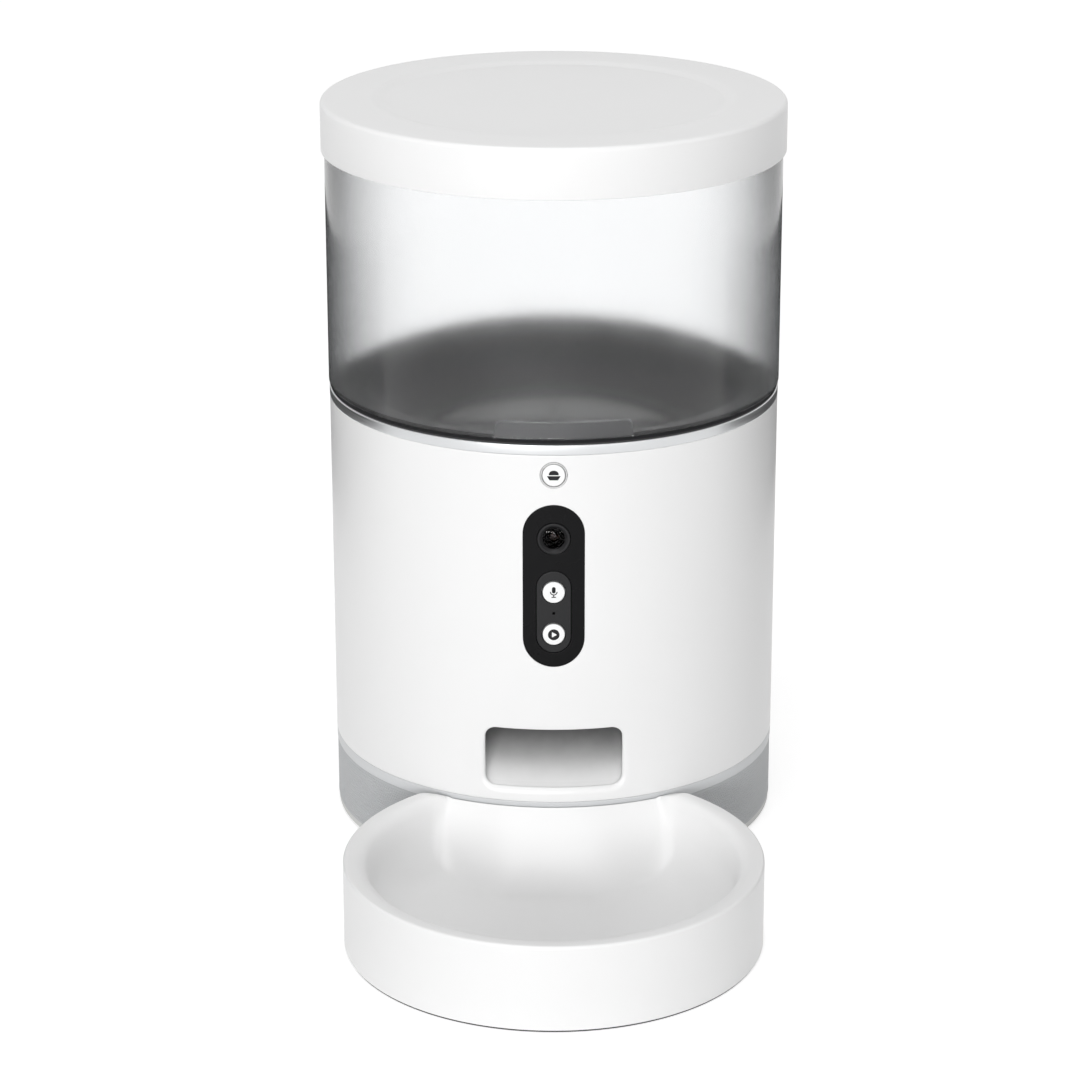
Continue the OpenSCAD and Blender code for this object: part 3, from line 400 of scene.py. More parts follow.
def pierced_wall(radii, heights, half_strip, cells, side, edge, step=1.6 * MM, turn_steps=200):
    """Round wall with slots in one strip of it: a closed section of two faces and two rounded ends is carried
    round the axis, the strip is left open, and one pierced cell per slot fills it."""
    outer, inner = radii
    low, high = heights
    cuts = [low + edge] + [cell[0] for cell in cells[1:]] + [high - edge]
    levels = np.concatenate([
        np.linspace(a, b, max(2, round((b - a) / step)) + 1)[:-1] for a, b in zip(cuts, cuts[1:])
    ] + [[cuts[-1]]])
    strip = np.linspace(-half_strip, half_strip, 2 * round(half_strip / step) + 1)
    arc = np.linspace(0, np.pi / 2, 5)[1:-1]
    top = [(outer - edge * (1 - np.cos(arc)), high - edge * (1 - np.sin(arc)))]
    top += [(inner + edge * (1 - np.sin(arc)), high - edge * (1 - np.cos(arc)))]
    section_r = np.concatenate([np.full(len(levels), outer), top[0][0], top[1][0], np.full(len(levels), inner)])
    section_z = np.concatenate([levels, top[0][1], top[1][1], levels[::-1]])
    section_r = np.concatenate([section_r, top[1][0][::-1], top[0][0][::-1]])
    section_z = np.concatenate([section_z, low + high - top[1][1][::-1], low + high - top[0][1][::-1]])
    first = np.arcsin(np.clip(strip[None] / section_r[:, None], -1, 1))
    share = np.linspace(0, 1, turn_steps)[1:-1]
    rest = first[:, -1:] + share * (2 * np.pi - 2 * first[:, -1:])
    angle = np.concatenate([first, rest], axis=1)
    points = np.stack([
        section_r[:, None] * np.sin(angle),
        TOWER_Y + side * section_r[:, None] * np.cos(angle),
        np.broadcast_to(section_z[:, None], angle.shape),
    ], axis=-1)
    rows, columns = angle.shape
    faces = grid_faces(rows, columns, wrap_rows=True)
    row, column = faces[:, 0] // columns, faces[:, 0] % columns
    n = len(levels)
    flat = row < n - 1
    back = (row >= n + 2 * len(arc)) & (row < 2 * n + 2 * len(arc) - 1)
    parts = [(points.reshape(-1, 3), faces[~((flat | back) & (column < len(strip) - 1))])]
    for cell_low, cell_high, hole, lip in cells:
        z = levels[(levels > cell_low - 1e-9) & (levels < cell_high + 1e-9)]
        outline = np.concatenate([
            np.stack([strip[:-1], np.full(len(strip) - 1, z[0])], 1),
            np.stack([np.full(len(z) - 1, strip[-1]), z[:-1]], 1),
            np.stack([strip[:0:-1], np.full(len(strip) - 1, z[-1])], 1),
            np.stack([np.full(len(z) - 1, strip[0]), z[:0:-1]], 1),
        ])
        parts.append(pierced_cell(outline, hole, side, radii, lip))
    return joined(*parts)


def punched_sheet(radius, low, high, pitch, depth, keep_clear):
    """Round sheet of hexagonal cells, each with a punched dot: a ring of six quads from the cell's outline to
    the dot's edge, and six facets down to the dot's bottom. Odd rows are moved by half a pitch."""
    columns = round(2 * np.pi * radius / pitch)
    pitch = 2 * np.pi * radius / columns
    rows = int((high - low) / (pitch * math.sqrt(0.75)))
    row, column = np.meshgrid(np.arange(rows), np.arange(columns), indexing="ij")
    around = (column + 0.5 * (row % 2)) * pitch
    height = low + (row + 0.5) * (high - low) / rows
    lift = (high - low) / rows / math.sqrt(0.75) / pitch
    corner = np.radians(30 + 60 * np.arange(6))
    cell_x, cell_z = np.cos(corner) * pitch / math.sqrt(3), np.sin(corner) * pitch / math.sqrt(3) * lift
    reach = 0.56
    s = np.concatenate([cell_x, reach * cell_x, [0.0]])
    z = np.concatenate([cell_z, reach * cell_z, [0.0]])
    sink = np.concatenate([np.zeros(12), [depth]])
    angle = (around[..., None] + s) / radius
    level = height[..., None] + z
    clear = (np.abs(np.angle(np.exp(1j * (around / radius)))) * radius < keep_clear[1])
    clear &= np.abs(height - keep_clear[0]) < keep_clear[1]
    points = np.stack([
        (radius - sink) * np.sin(angle), TOWER_Y + (radius - sink) * np.cos(angle), level
    ], axis=-1)[~clear]
    k = np.arange(6)
    ring = np.stack([k, (k + 1) % 6, 6 + (k + 1) % 6, 6 + k], 1)
    dot = np.stack([6 + k, 6 + (k + 1) % 6, np.full(6, 12), np.full(6, 12)], 1)
    faces = np.concatenate([ring, dot])[None] + 13 * np.arange(len(points))[:, None, None]
    return points.reshape(-1, 3), faces.reshape(-1, 4)


SKIRT_LOW, SKIRT_HIGH, SKIRT_IN, SKIRT_WALL = 4.1 * MM, 30.5 * MM, 92.5 * MM, 94.05 * MM
SHEET_R, SHEET_EDGE, DOT_PITCH, DOT_DEPTH = 94.7 * MM, 0.9 * MM, 1.3 * MM, 0.45 * MM
BORDER_IN, BORDER_R, BORDER_TALL = 93.2 * MM, 94.75 * MM, 1.5 * MM
INLET_Z, INLET_R, INLET_CLEAR = 16.1 * MM, 4.6 * MM, 5.2 * MM
skirt_grey = moulded("speaker_grey", (0.44, 0.45, 0.46), 0.5)
skirt_cells = [(SKIRT_LOW, SKIRT_HIGH, pill_hole(INLET_Z, INLET_R), 0.2 * MM)]
skirt_wall = pierced_wall((SKIRT_WALL, SKIRT_IN), (SKIRT_LOW, SKIRT_HIGH), 10 * MM, skirt_cells, 1, 0.3 * MM)
closed_mesh("speaker_wall", *skirt_wall, skirt_grey, "speaker_mesh", "base", "speaker_skirt")
sheet = punched_sheet(
    SHEET_R, SKIRT_LOW + SHEET_EDGE, SKIRT_HIGH - SHEET_EDGE, DOT_PITCH, DOT_DEPTH, (INLET_Z, INLET_CLEAR)
)
closed_mesh("speaker_sheet", *sheet, skirt_grey, "speaker_mesh", "base", sharp=20.0)


def turned(section, steps=256, centre=(0.0, TOWER_Y)):
    """Closed section of (radius, height) points carried once round an upright axis."""
    section = np.asarray(section, float)
    angle = np.linspace(0, 2 * np.pi, steps, endpoint=False)
    points = np.stack([
        centre[0] + section[:, :1] * np.cos(angle),
        centre[1] + section[:, :1] * np.sin(angle),
        np.broadcast_to(section[:, 1:], (len(section), steps)),
    ], axis=-1)
    return points.reshape(-1, 3), grid_faces(len(section), steps, wrap_rows=True)


for border_name, border_low in (("skirt_border_low", SKIRT_LOW), ("skirt_border_high", SKIRT_HIGH - BORDER_TALL)):
    border = box_section(
        BORDER_IN, BORDER_R, border_low, border_low + BORDER_TALL, np.array([0.05, 0.25, 0.25, 0.05]) * MM
    )
    closed_mesh(border_name, *turned(border), skirt_grey, "speaker_mesh", "base")


# Power inlet: the round nose of the socket shows through a hole in the skirt at the back, framed by a thin
# dark collar that is pressed into the hole.
def turned_forward(section, height, steps=96):
    """Closed section of (radius, y) points carried once round an axis from front to back at a height."""
    points, faces = turned(section, steps, (0.0, height))
    return points[:, [0, 2, 1]], faces


COLLAR_IN, COLLAR_R, COLLAR_LONG, COLLAR_BACK = 4.45 * MM, 6.2 * MM, 1.6 * MM, TOWER_Y + 95.1 * MM
collar = box_section(
    COLLAR_IN, COLLAR_R, COLLAR_BACK - COLLAR_LONG, COLLAR_BACK, np.array([0.05, 0.05, 0.35, 0.2]) * MM
)
closed_mesh("inlet_collar", *turned_forward(collar, INLET_Z), dark_plastic, "black_gloss", "base")


# Pale band: a narrow grey ring that rests on the skirt and carries the body shell. Its outer edges are lightly
# rounded.
BAND_LOW, BAND_HIGH, BAND_R = SKIRT_HIGH, 35.1 * MM, 94.9 * MM
pale_trim = moulded("pale_trim", (0.60, 0.61, 0.62), 0.4)
band = box_section(SKIRT_IN, BAND_R, BAND_LOW, BAND_HIGH, np.array([0.1, 0.3, 0.3, 0.1]) * MM)
closed_mesh("pale_band", *turned(band), pale_trim, "pale_trim", "base", "pale_ring")


# Body shell: a white satin tube with the outlet, the camera panel's opening and the feed button's hole. It
# stands on the pale band and is screwed to the base; the outlet's sides and sill are softly rounded.
LIP_SILL, LIP_TOP = 3.2 * MM, 0.5 * MM


def outlet_lip(ray):
    """Radius of the outlet's edge by the angle from its middle: small along the top, and larger at the sides
    and the sill."""
    upward = np.clip(np.sin(ray) * 2.2, 0, 1)
    return LIP_SILL * (1 - upward) + LIP_TOP * upward


SHELL_R, SHELL_IN, SHELL_TOP, SHELL_STRIP = 95.0 * MM, 92.5 * MM, 185.9 * MM, 45 * MM
OUTLET = (0.0, 54.4 * MM, 28.2 * MM, 13.0 * MM, 4.5 * MM)
PANEL_Z, FEED_Z = 130.1 * MM, 177.5 * MM
ABOVE_OUTLET, ABOVE_PANEL = 76 * MM, 169 * MM
white_plastic = moulded("white_plastic", (0.80, 0.80, 0.80), 0.34, mottle=0.015, relief=0.03)
shell_cells = [
    (BAND_HIGH, ABOVE_OUTLET, OUTLET, outlet_lip),
    (ABOVE_OUTLET, ABOVE_PANEL, pill_hole(PANEL_Z, 12.6 * MM, 34.9 * MM), 0.15 * MM),
    (ABOVE_PANEL, SHELL_TOP, pill_hole(FEED_Z, 5.55 * MM), 0.25 * MM),
]
shell_wall = pierced_wall((SHELL_R, SHELL_IN), (BAND_HIGH, SHELL_TOP), SHELL_STRIP, shell_cells, -1, 0.4 * MM)
closed_mesh("body_skin", *shell_wall, white_plastic, "white_plastic", "base", "body_shell")


# Discharge chute: a white duct that leads from the rotor's drop hole down a steep floor to the outlet. Its
# front end follows the inside of the shell.
CHUTE_FLOOR = np.array([[-25.0, 41.45], [-23.1, 42.6], [38.4, 116.4], [38.4, 124.4]]) * MM
CHUTE_ROOF = np.array([[-25.0, 67.35], [-23.1, 68.3], [11.4, 98.4], [11.4, 124.4]]) * MM
CHUTE_HALF_W = np.array([28.15, 28.4, 30.2, 30.2]) * MM
CHUTE_STATIONS = np.array([0.0, 0.03, 1.0, 2.0])
CHUTE_CORNER, CHUTE_WALL, CHUTE_MOUTH_R = 4.5 * MM, 1.8 * MM, 93.4 * MM


def chute(grow):
    """Rows of a duct of rounded rectangles between a floor line and a roof line, moved outwards by a wall. The
    first row lies inside the outlet and bends with the shell, and the bend fades out along the duct."""
    along = np.concatenate([[0.0], np.linspace(CHUTE_STATIONS[1], 1, 19), np.linspace(1, 2, 5)[1:]])
    floor, roof = CHUTE_FLOOR - [0.0, grow], CHUTE_ROOF + [0.0, grow]
    floor[2:, 0] += grow
    roof[2:, 0] -= grow
    low, high = (
        np.stack([np.interp(along, CHUTE_STATIONS, line[:, k]) for k in range(2)], axis=-1)[:, None]
        for line in (floor, roof)
    )
    half_w = np.interp(along, CHUTE_STATIONS, CHUTE_HALF_W)[:, None] + grow
    tall = np.linalg.norm(high - low, axis=-1)
    quarter, across = np.linspace(0, np.pi / 2, 6), np.linspace(1, -1, 25)[1:-1]
    straight = np.full(len(across), np.pi / 2)
    turn = np.concatenate([
        quarter, straight, quarter + np.pi / 2, quarter + np.pi, straight + np.pi, quarter - np.pi / 2
    ])
    lean = np.concatenate([np.ones(6), across, -np.ones(12), -across, np.ones(6)])
    up = (np.arange(len(turn)) < len(turn) / 2).astype(float)
    radius = CHUTE_CORNER + grow
    x = lean * (half_w - radius) + radius * np.cos(turn)
    share = up + (radius * np.sin(turn) - radius * (2 * up - 1)) / tall
    place = low * (1 - share[..., None]) + high * share[..., None]
    bend = np.clip(1 - along, 0, 1)[:, None] * (CHUTE_MOUTH_R - np.sqrt(CHUTE_MOUTH_R**2 - x**2))
    return np.stack([x, place[..., 0] + bend, place[..., 1]], axis=-1)


def painted_shade_chute():
    """White plastic with painted shade: the colour darkens with height, deeper into the duct, and noise roughens
    the shade's edge.
    """
    material, tree, shader = fresh("painted_shade_chute")
    place, split = add(tree, "TexCoord"), add(tree, "SeparateXYZ")
    cloud = add(tree, "TexNoise", {"Scale": 140.0})
    uneven = add(tree, "Math", {1: 0.002}, operation="MULTIPLY_ADD")
    # Painted shade: the colour goes from near white at the sill to near black higher up, deeper in the duct.
    painted_shade = add(tree, "MapRange", {"From Min": 0.040, "From Max": 0.066}, interpolation_type="SMOOTHSTEP")
    tint = add(tree, "Mix", {"A": grey(0.76), "B": grey(0.07)}, data_type="RGBA")
    wire(
        tree,
        (place, "Object", split, 0), (place, "Object", cloud, "Vector"), (cloud, "Fac", uneven, 0),
        (split, "Z", uneven, 2), (uneven, 0, painted_shade, "Value"), (painted_shade, "Result", tint, "Factor"),
        (tint, "Result", shader, "Base Color"),
    )
    give(shader, {"Roughness": 0.6, "Specular IOR Level": 0.2})
    return material


duct = np.concatenate([chute(0.0), chute(CHUTE_WALL)[:1:-1]])
duct_faces = grid_faces(*duct.shape[:2], wrap_rows=True)
closed_mesh("outlet_chute", duct, duct_faces, painted_shade_chute(), "white_plastic", "base", "discharge_chute")


# Camera panel: a black pill set flush into the shell, with a hole for the lens and an opening for the button
# panel, which is a second pill of dark grey plastic with two button holes and a microphone hole.
def pierced_panel(radii, pill, cells, edge):
    """Pill-shaped patch of the round wall's front. A rim with two rounded edges runs round the pill, and between
    its edges one pierced cell per slot fills a part of the pill's height."""
    z0, half_w, half_h = pill
    straight = half_h - half_w
    splits = [cell[0] for cell in cells[1:]]
    spine = np.unique(np.concatenate([np.linspace(-straight, straight, 41) + z0, splits]))
    cap = np.radians(np.linspace(0, 90, 25))
    turn = np.concatenate([-cap[::-1], np.zeros(len(spine) - 2), cap])
    spine = np.concatenate([np.full(24, spine[0]), spine, np.full(24, spine[-1])])
    side_x, side_z = np.cos(turn), np.sin(turn)

    def outline(grow):
        """The right and the left side of the pill's edge, moved outwards from the rounded rim's inside."""
        reach = half_w - edge + grow
        right = np.stack([reach * side_x, spine + reach * side_z], axis=-1)
        return right, right[::-1] * np.array([-1.0, 1.0])

    bend = np.linspace(0, np.pi / 2, 6)
    loops = [np.concatenate(outline(edge * np.sin(t))) for t in bend]
    sink = [np.array([0.0, edge * (1 - np.cos(t)), 0.0]) for t in bend]
    front = [round_wall(*loop.T, radii[0], -1) + drop for loop, drop in zip(loops, sink)]
    back = [round_wall(*loop.T, radii[1], -1) - drop for loop, drop in zip(loops, sink)]
    rim = np.stack(back + front[::-1])
    parts = [(rim.reshape(-1, 3), grid_faces(*rim.shape[:2]))]
    right, left = outline(0.0)
    across = np.linspace(1, -1, 21)[1:-1, None] * np.array([half_w - edge, 0.0])
    for low, high, hole, lip in cells:
        pick = (right[:, 1] > low - 1e-9) & (right[:, 1] < high + 1e-9)
        loop = [right[pick]]
        if high < z0 + half_h - edge:
            loop.append(across + [0.0, high])
        loop.append(left[pick[::-1]])
        if low > z0 - half_h + edge:
            loop.append(-across + [0.0, low])
        parts.append(pierced_cell(np.concatenate(loop), hole, -1, radii, lip))
    return joined(*parts)


PANEL_BACK, BUTTON_FACE_R = 90.3 * MM, 94.9 * MM
PANEL_PILL, BUTTON_PILL = (PANEL_Z, 12.5 * MM, 34.8 * MM), (119.05 * MM, 7.0 * MM, 17.55 * MM)
LENS_Z, RECORD_Z, MIC_Z, PLAY_Z = 150.5 * MM, 127.575 * MM, 118.5 * MM, 109.425 * MM
BELOW_LENS, BELOW_MIC, ABOVE_MIC, PANEL_END = 140.2 * MM, 116 * MM, 121 * MM, 1.0
LENS_HOLE, CAP_HOLE, MIC_HOLE = 6.85 * MM, 4.9 * MM, 0.6 * MM
black_gloss = moulded("black_gloss", (0.004, 0.004, 0.0045), 0.28, relief=0.02, Specular_IOR_Level=0.12)
panel_grey = moulded("panel_grey", (0.016, 0.016, 0.017), 0.4, Specular_IOR_Level=0.22)
panel_cells = [
    (0.0, BELOW_LENS, pill_hole(BUTTON_PILL[0], 7.2 * MM, 17.75 * MM), 0.2 * MM),
    (BELOW_LENS, PANEL_END, pill_hole(LENS_Z, LENS_HOLE), 0.15 * MM),
]
panel = pierced_panel((SHELL_R, PANEL_BACK), PANEL_PILL, panel_cells, 0.12 * MM)
closed_mesh("camera_face", *panel, black_gloss, "black_gloss", "base", "camera_panel")
button_cells = [
    (0.0, BELOW_MIC, pill_hole(PLAY_Z, CAP_HOLE), 0.2 * MM),
    (BELOW_MIC, ABOVE_MIC, pill_hole(MIC_Z, MIC_HOLE), 0.1 * MM),
    (ABOVE_MIC, PANEL_END, pill_hole(RECORD_Z, CAP_HOLE), 0.2 * MM),
]
button_face = pierced_panel((BUTTON_FACE_R, PANEL_BACK), BUTTON_PILL, button_cells, 0.25 * MM)
closed_mesh("button_face", *button_face, panel_grey, "grey_plastic", "base", "button_panel")


# Push buttons: round white caps with a flange behind the panel and a stem to the switch. Each carries its own
# plain printed sign: a microphone, a disc with an arrow, and a heaped food bowl inside a thin grey ring.
CAP_FRONT, STEM_END, STEM_R, FLANGE_WIDE, FLANGE_THICK = -26.95 * MM, -17.3 * MM, 1.8 * MM, 0.9 * MM, 1.0 * MM
SIGN_FRONT, SIGN_BACK, ARROW_FRONT = -27.0 * MM, -26.85 * MM, -27.03 * MM


def push_cap(radius, flange_y, height):
    """Turned button: a flat cap with a rounded edge, a wider flange, and a stem."""
    wide, flange_end = radius + FLANGE_WIDE, flange_y + FLANGE_THICK
    section = [[0.0, CAP_FRONT], [radius, CAP_FRONT], [radius, flange_y], [wide, flange_y], [wide, flange_end],
               [STEM_R, flange_end], [STEM_R, STEM_END], [0.0, STEM_END]]
    return turned_forward(rounded(section, np.array([0, 0.5, 0.05, 0.1, 0.1, 0.05, 0.1, 0]) * MM), height)


def sign_points(loops, height, front):
    """Points of four (x, z) loops about a height: the first two in a sign's front, the others in its back."""
    depth = np.broadcast_to(np.array([front, front, SIGN_BACK, SIGN_BACK])[:, None], loops.shape[:2])
    return np.stack([loops[..., 0], depth, height + loops[..., 1]], axis=-1).reshape(-1, 3)


def plate(outline, height, front=SIGN_FRONT):
    """Thin plate in front of a cap: a fan from the outline's middle, its edge, and the same fan behind. The
    outline is in millimetres about a point at the given height, and every ray from its middle meets it once."""
    outline = np.asarray(outline, float) * MM
    middle = np.broadcast_to(outline.mean(0), outline.shape)
    return sign_points(np.stack([middle, outline, outline, middle]), height, front), grid_faces(4, len(outline))


def bar(x0, z0, x1, z1, corner):
    """Outline of an upright rectangle with round corners."""
    return box_section(x0, x1, z0, z1, [corner] * 4)


def bow(radius, width, start, end, lift, height, steps=25):
    """Part of a flat ring: four edges follow its arc, and two quads close its ends. Sizes are in millimetres."""
    angle = np.radians(np.linspace(start, end, steps))
    points = np.stack([np.cos(angle), np.sin(angle)], axis=-1)
    near, far = points * (radius - width / 2) + [0, lift], points * (radius + width / 2) + [0, lift]
    ring = sign_points(np.stack([near, far, far, near]) * MM, height, SIGN_FRONT)
    first = steps * np.arange(4)
    ends = np.stack([first, first[::-1] + steps - 1])
    return ring, np.concatenate([grid_faces(4, steps, True, False), ends])


sign_ink = moulded("sign_ink", (0.015, 0.015, 0.016), 0.6, Specular_IOR_Level=0.2)
cap_white = moulded("cap_white", (0.84, 0.84, 0.84), 0.35, mottle=0.01, relief=0.02)
for cap_name, cap_radius, cap_flange, cap_z in (
    ("record", 4.5, -21.34, RECORD_Z), ("play", 4.5, -21.34, PLAY_Z), ("feed", 4.6, -23.54, FEED_Z),
):
    closed_mesh(
        cap_name + "_cap", *push_cap(cap_radius * MM, cap_flange * MM, cap_z), cap_white, "white_plastic",
        cap_name + "_button", cap_name + "_button",
    )
microphone_sign = joined(
    plate(bar(-0.75, -0.2, 0.75, 2.5, 0.74), RECORD_Z), bow(1.35, 0.4, 180, 360, 0.45, RECORD_Z),
    plate(bar(-0.2, -1.75, 0.2, -0.8, 0.05), RECORD_Z), plate(bar(-0.9, -2.1, 0.9, -1.7, 0.15), RECORD_Z),
)
closed_mesh("record_sign", *microphone_sign, sign_ink, "grey_plastic", "record_button")
disc_turn = np.linspace(0, 2 * np.pi, 48, endpoint=False)
disc = 2.35 * np.stack([np.cos(disc_turn), np.sin(disc_turn)], axis=-1)
closed_mesh("play_sign", *plate(disc, PLAY_Z), sign_ink, "grey_plastic", "play_button")
arrow = rounded([[-0.75, -1.2], [1.35, 0.0], [-0.75, 1.2]], [0.15] * 3)
closed_mesh("play_arrow", *plate(arrow, PLAY_Z, ARROW_FRONT), cap_white, "white_plastic", "play_button")
heap_turn = np.linspace(0, np.pi, 30)
heap = np.stack([2.0 * np.cos(heap_turn), 0.25 + 1.9 * np.sin(heap_turn) ** 0.8], axis=-1)
dish = rounded([[-1.7, -1.9], [1.7, -1.9], [2.8, -0.15], [-2.8, -0.15]], [0.4, 0.4, 0.12, 0.12])
feed_sign = joined(plate(heap, FEED_Z), plate(dish, FEED_Z))
closed_mesh("feed_sign", *feed_sign, sign_ink, "grey_plastic", "feed_button")
coat(moulded("ring_white", (0.74, 0.74, 0.74), 0.38), "feed_ring")


# Camera lens: a dark bezel with a sloping inner edge, a thin domed front glass, and behind it a black stepped
# cone with a brown coated element at its bottom. It is pressed into the camera panel.
BEZEL_IN, BEZEL_R, BEZEL_BACK, BEZEL_FRONT = 4.6 * MM, 6.65 * MM, -24.6 * MM, -26.95 * MM
bezel = rounded(
    [[BEZEL_IN, BEZEL_BACK], [BEZEL_R, BEZEL_BACK], [BEZEL_R, BEZEL_FRONT], [5.75 * MM, BEZEL_FRONT],
     [BEZEL_IN, -25.8 * MM]],
    np.array([0.05, 0.05, 0.35, 0.2, 0.1]) * MM,
)
bezel_grey = moulded("bezel_grey", (0.012, 0.012, 0.013), 0.45, Specular_IOR_Level=0.2)
closed_mesh("lens_bezel", *turned_forward(bezel, LENS_Z), bezel_grey, "grey_plastic", "base", "lens_ring")


def lens_glass():
    """Clear coated glass: the coating gives a faint tint that cloudy noise varies a little."""
    material, tree, shader = fresh("coated_glass")
    place, cloud = add(tree, "TexCoord"), add(tree, "TexNoise", {"Scale": 200.0})
    coating = np.array([0.75, 0.74, 0.76])
    tint = add(tree, "Mix", {"A": (*coating, 1.0), "B": (*0.92 * coating, 1.0)}, data_type="RGBA")
    wire(
        tree,
        (place, "Object", cloud, "Vector"), (cloud, "Fac", tint, "Factor"),
        (tint, "Result", shader, "Base Color"),
    )
    give(shader, {"Transmission Weight": 1.0, "Roughness": 0.03, "IOR": 1.1})
    return material


LENS_CORE_R, DOME_ROUND, DOME_FRONT, DOME_THICK = 4.55, 11.95, -26.6, 0.4
CORE_FRONT, CORE_BACK, CORE_FLOOR, EYE_ROUND, EYE_FRONT = -25.2, -16.6, -22.6, 2.65, -24.05
dome_turn = np.linspace(0, np.arcsin(LENS_CORE_R / DOME_ROUND), 25)
dome_front = np.stack([DOME_ROUND * np.sin(dome_turn), DOME_FRONT + DOME_ROUND * (1 - np.cos(dome_turn))], axis=-1)
dome = np.concatenate([dome_front, dome_front[::-1] + [0.0, DOME_THICK]]) * MM
closed_mesh("lens_dome", *turned_forward(dome, LENS_Z), lens_glass(), "lens", "base", "lens_glass")
steps_r = np.repeat(np.array([LENS_CORE_R, 3.9, 3.3, 2.75, 2.3]), 2)[1:]
steps_y = np.repeat(np.array([CORE_FRONT, -24.9, -24.5, -24.0, -23.4]), 2)[:-1]
core = np.concatenate([
    [[0.0, CORE_FLOOR], [2.3, CORE_FLOOR]], np.stack([steps_r, steps_y], 1)[::-1],
    [[LENS_CORE_R, CORE_FRONT], [LENS_CORE_R, CORE_BACK], [0.0, CORE_BACK]],
]) * MM
core_black = moulded("core_black", (0.003, 0.003, 0.003), 0.5, Specular_IOR_Level=0.05)
closed_mesh("lens_core", *turned_forward(core, LENS_Z), core_black, "black_gloss", "base", "lens_barrel")
eye_turn = np.linspace(0, np.pi / 3, 15)
eye = np.stack([EYE_ROUND * np.sin(eye_turn), EYE_FRONT + EYE_ROUND * (1 - np.cos(eye_turn))], axis=-1)
eye = np.concatenate([eye, [[2.29, -22.5], [0.0, -22.5]]]) * MM
brown_coating = moulded("brown_coating", (0.012, 0.006, 0.004), 0.16, Specular_IOR_Level=0.4)
closed_mesh("lens_eye", *turned_forward(eye, LENS_Z), brown_coating, "lens", "base")


# Trim ring: a turned aluminium ring with fine bevels between the shell and the container. It lies on the shell,
# and the hopper tray's gasket rests on it.
def turned_metal():
    """Aluminium with fine lathe lines: noise that changes quickly with height and slowly round the axis makes the
    roughness and the bump vary from line to line."""
    material, tree, shader = fresh("turned_aluminium")
    place, stretch = add(tree, "TexCoord"), add(tree, "Mapping", {"Scale": (25.0, 25.0, 3500.0)})
    grooves = add(tree, "TexNoise", {"Scale": 1.0, "Detail": 4.0})
    rough = add(tree, "MapRange", {"To Min": 0.22, "To Max": 0.42})
    bump = add(tree, "Bump", {"Strength": 0.15, "Distance": 0.0001})
    wire(
        tree,
        (place, "Object", stretch, "Vector"), (stretch, "Vector", grooves, "Vector"),
        (grooves, "Fac", rough, "Value"), (rough, "Result", shader, "Roughness"),
        (grooves, "Fac", bump, "Height"), (bump, "Normal", shader, "Normal"),
    )
    give(shader, {"Base Color": (0.66, 0.67, 0.68, 1.0), "Metallic": 1.0})
    return material


RING_IN, RING_R, RING_TOP = 89.0 * MM, 95.1 * MM, 190.1 * MM
ring = box_section(RING_IN, RING_R, SHELL_TOP, RING_TOP, np.array([0.1, 0.3, 0.5, 0.2]) * MM)
closed_mesh("silver_ring", *turned(ring), turned_metal(), "silver_trim", "base", "trim_ring")


# Hopper: a charcoal tray with a sloping floor that is open towards the rotor, a tab that stands at its front, and
# a rubber gasket below its flange. Under it lie the deck, the rotor in its round housing, and the frame plate.
def painted_light_tray():
    """Charcoal plastic with painted light and shade: by its distance from the tower's axis it is lighter in the
    middle and darker towards the walls."""
    material = moulded("painted_light_tray", (0.02, 0.02, 0.02), 0.6, relief=0.12, Specular_IOR_Level=0.12)
    tree = material.node_tree
    place = add(tree, "TexCoord")
    level = add(tree, "VectorMath", {1: (1.0, 1.0, 0.0), 2: (0.0, -TOWER_Y, 0.0)}, operation="MULTIPLY_ADD")
    away = add(tree, "VectorMath", operation="LENGTH")
    # Painted light and shade: lighter grey in the tray's middle, near black towards its walls.
    painted_shade = add(tree, "MapRange", {"From Min": 0.054, "From Max": 0.076}, interpolation_type="SMOOTHSTEP")
    tint = add(tree, "Mix", {"A": (0.06, 0.06, 0.061, 1.0), "B": (0.01, 0.01, 0.011, 1.0)}, data_type="RGBA")
    skin = next(node for node in tree.nodes if node.type == "GROUP")
    wire(
        tree,
        (place, "Object", level, 0), (level, 0, away, 0), (away, "Value", painted_shade, "Value"),
        (painted_shade, "Result", tint, "Factor"), (tint, "Result", skin, "Colour"),
    )
    return material


inner_plastic = moulded("inner_plastic", (0.60, 0.60, 0.59), 0.5)
coat(painted_light_tray(), "hopper_tray")
coat(moulded("tab_grey", (0.05, 0.05, 0.052), 0.55, relief=0.12), "hopper_tab")
coat(black_rubber, "container_gasket", "rotor_tips")
coat(inner_plastic, "top_deck", "rotor_housing", "rotor", "rotor_cap", "mid_frame")


# Food container: a frosted clear tube that stands on the tray's flange. Seen at a slant its wall is longer and
# takes on a smoky tone, so its two sides look dark.
def frosted_clear():
    """Frosted clear plastic: the tint darkens with the angle of view, and cloudy noise varies the frosting."""
    material, tree, shader = fresh("frosted_clear")
    place, cloud = add(tree, "TexCoord"), add(tree, "TexNoise", {"Scale": 60.0})
    frost = add(tree, "MapRange", {"To Min": 0.13, "To Max": 0.17})
    slant = add(tree, "LayerWeight", {"Blend": 0.5})
    curve = add(tree, "MapRange", {"From Min": 0.15, "From Max": 0.92}, interpolation_type="SMOOTHSTEP")
    tint = add(tree, "Mix", {"A": (0.98, 0.985, 0.99, 1.0), "B": (0.11, 0.114, 0.118, 1.0)}, data_type="RGBA")
    wire(
        tree,
        (place, "Object", cloud, "Vector"), (cloud, "Fac", frost, "Value"),
        (frost, "Result", shader, "Roughness"), (slant, "Facing", curve, "Value"),
        (curve, "Result", tint, "Factor"), (tint, "Result", shader, "Base Color"),
    )
    give(shader, {"Transmission Weight": 1.0, "IOR": 1.4})
    return material


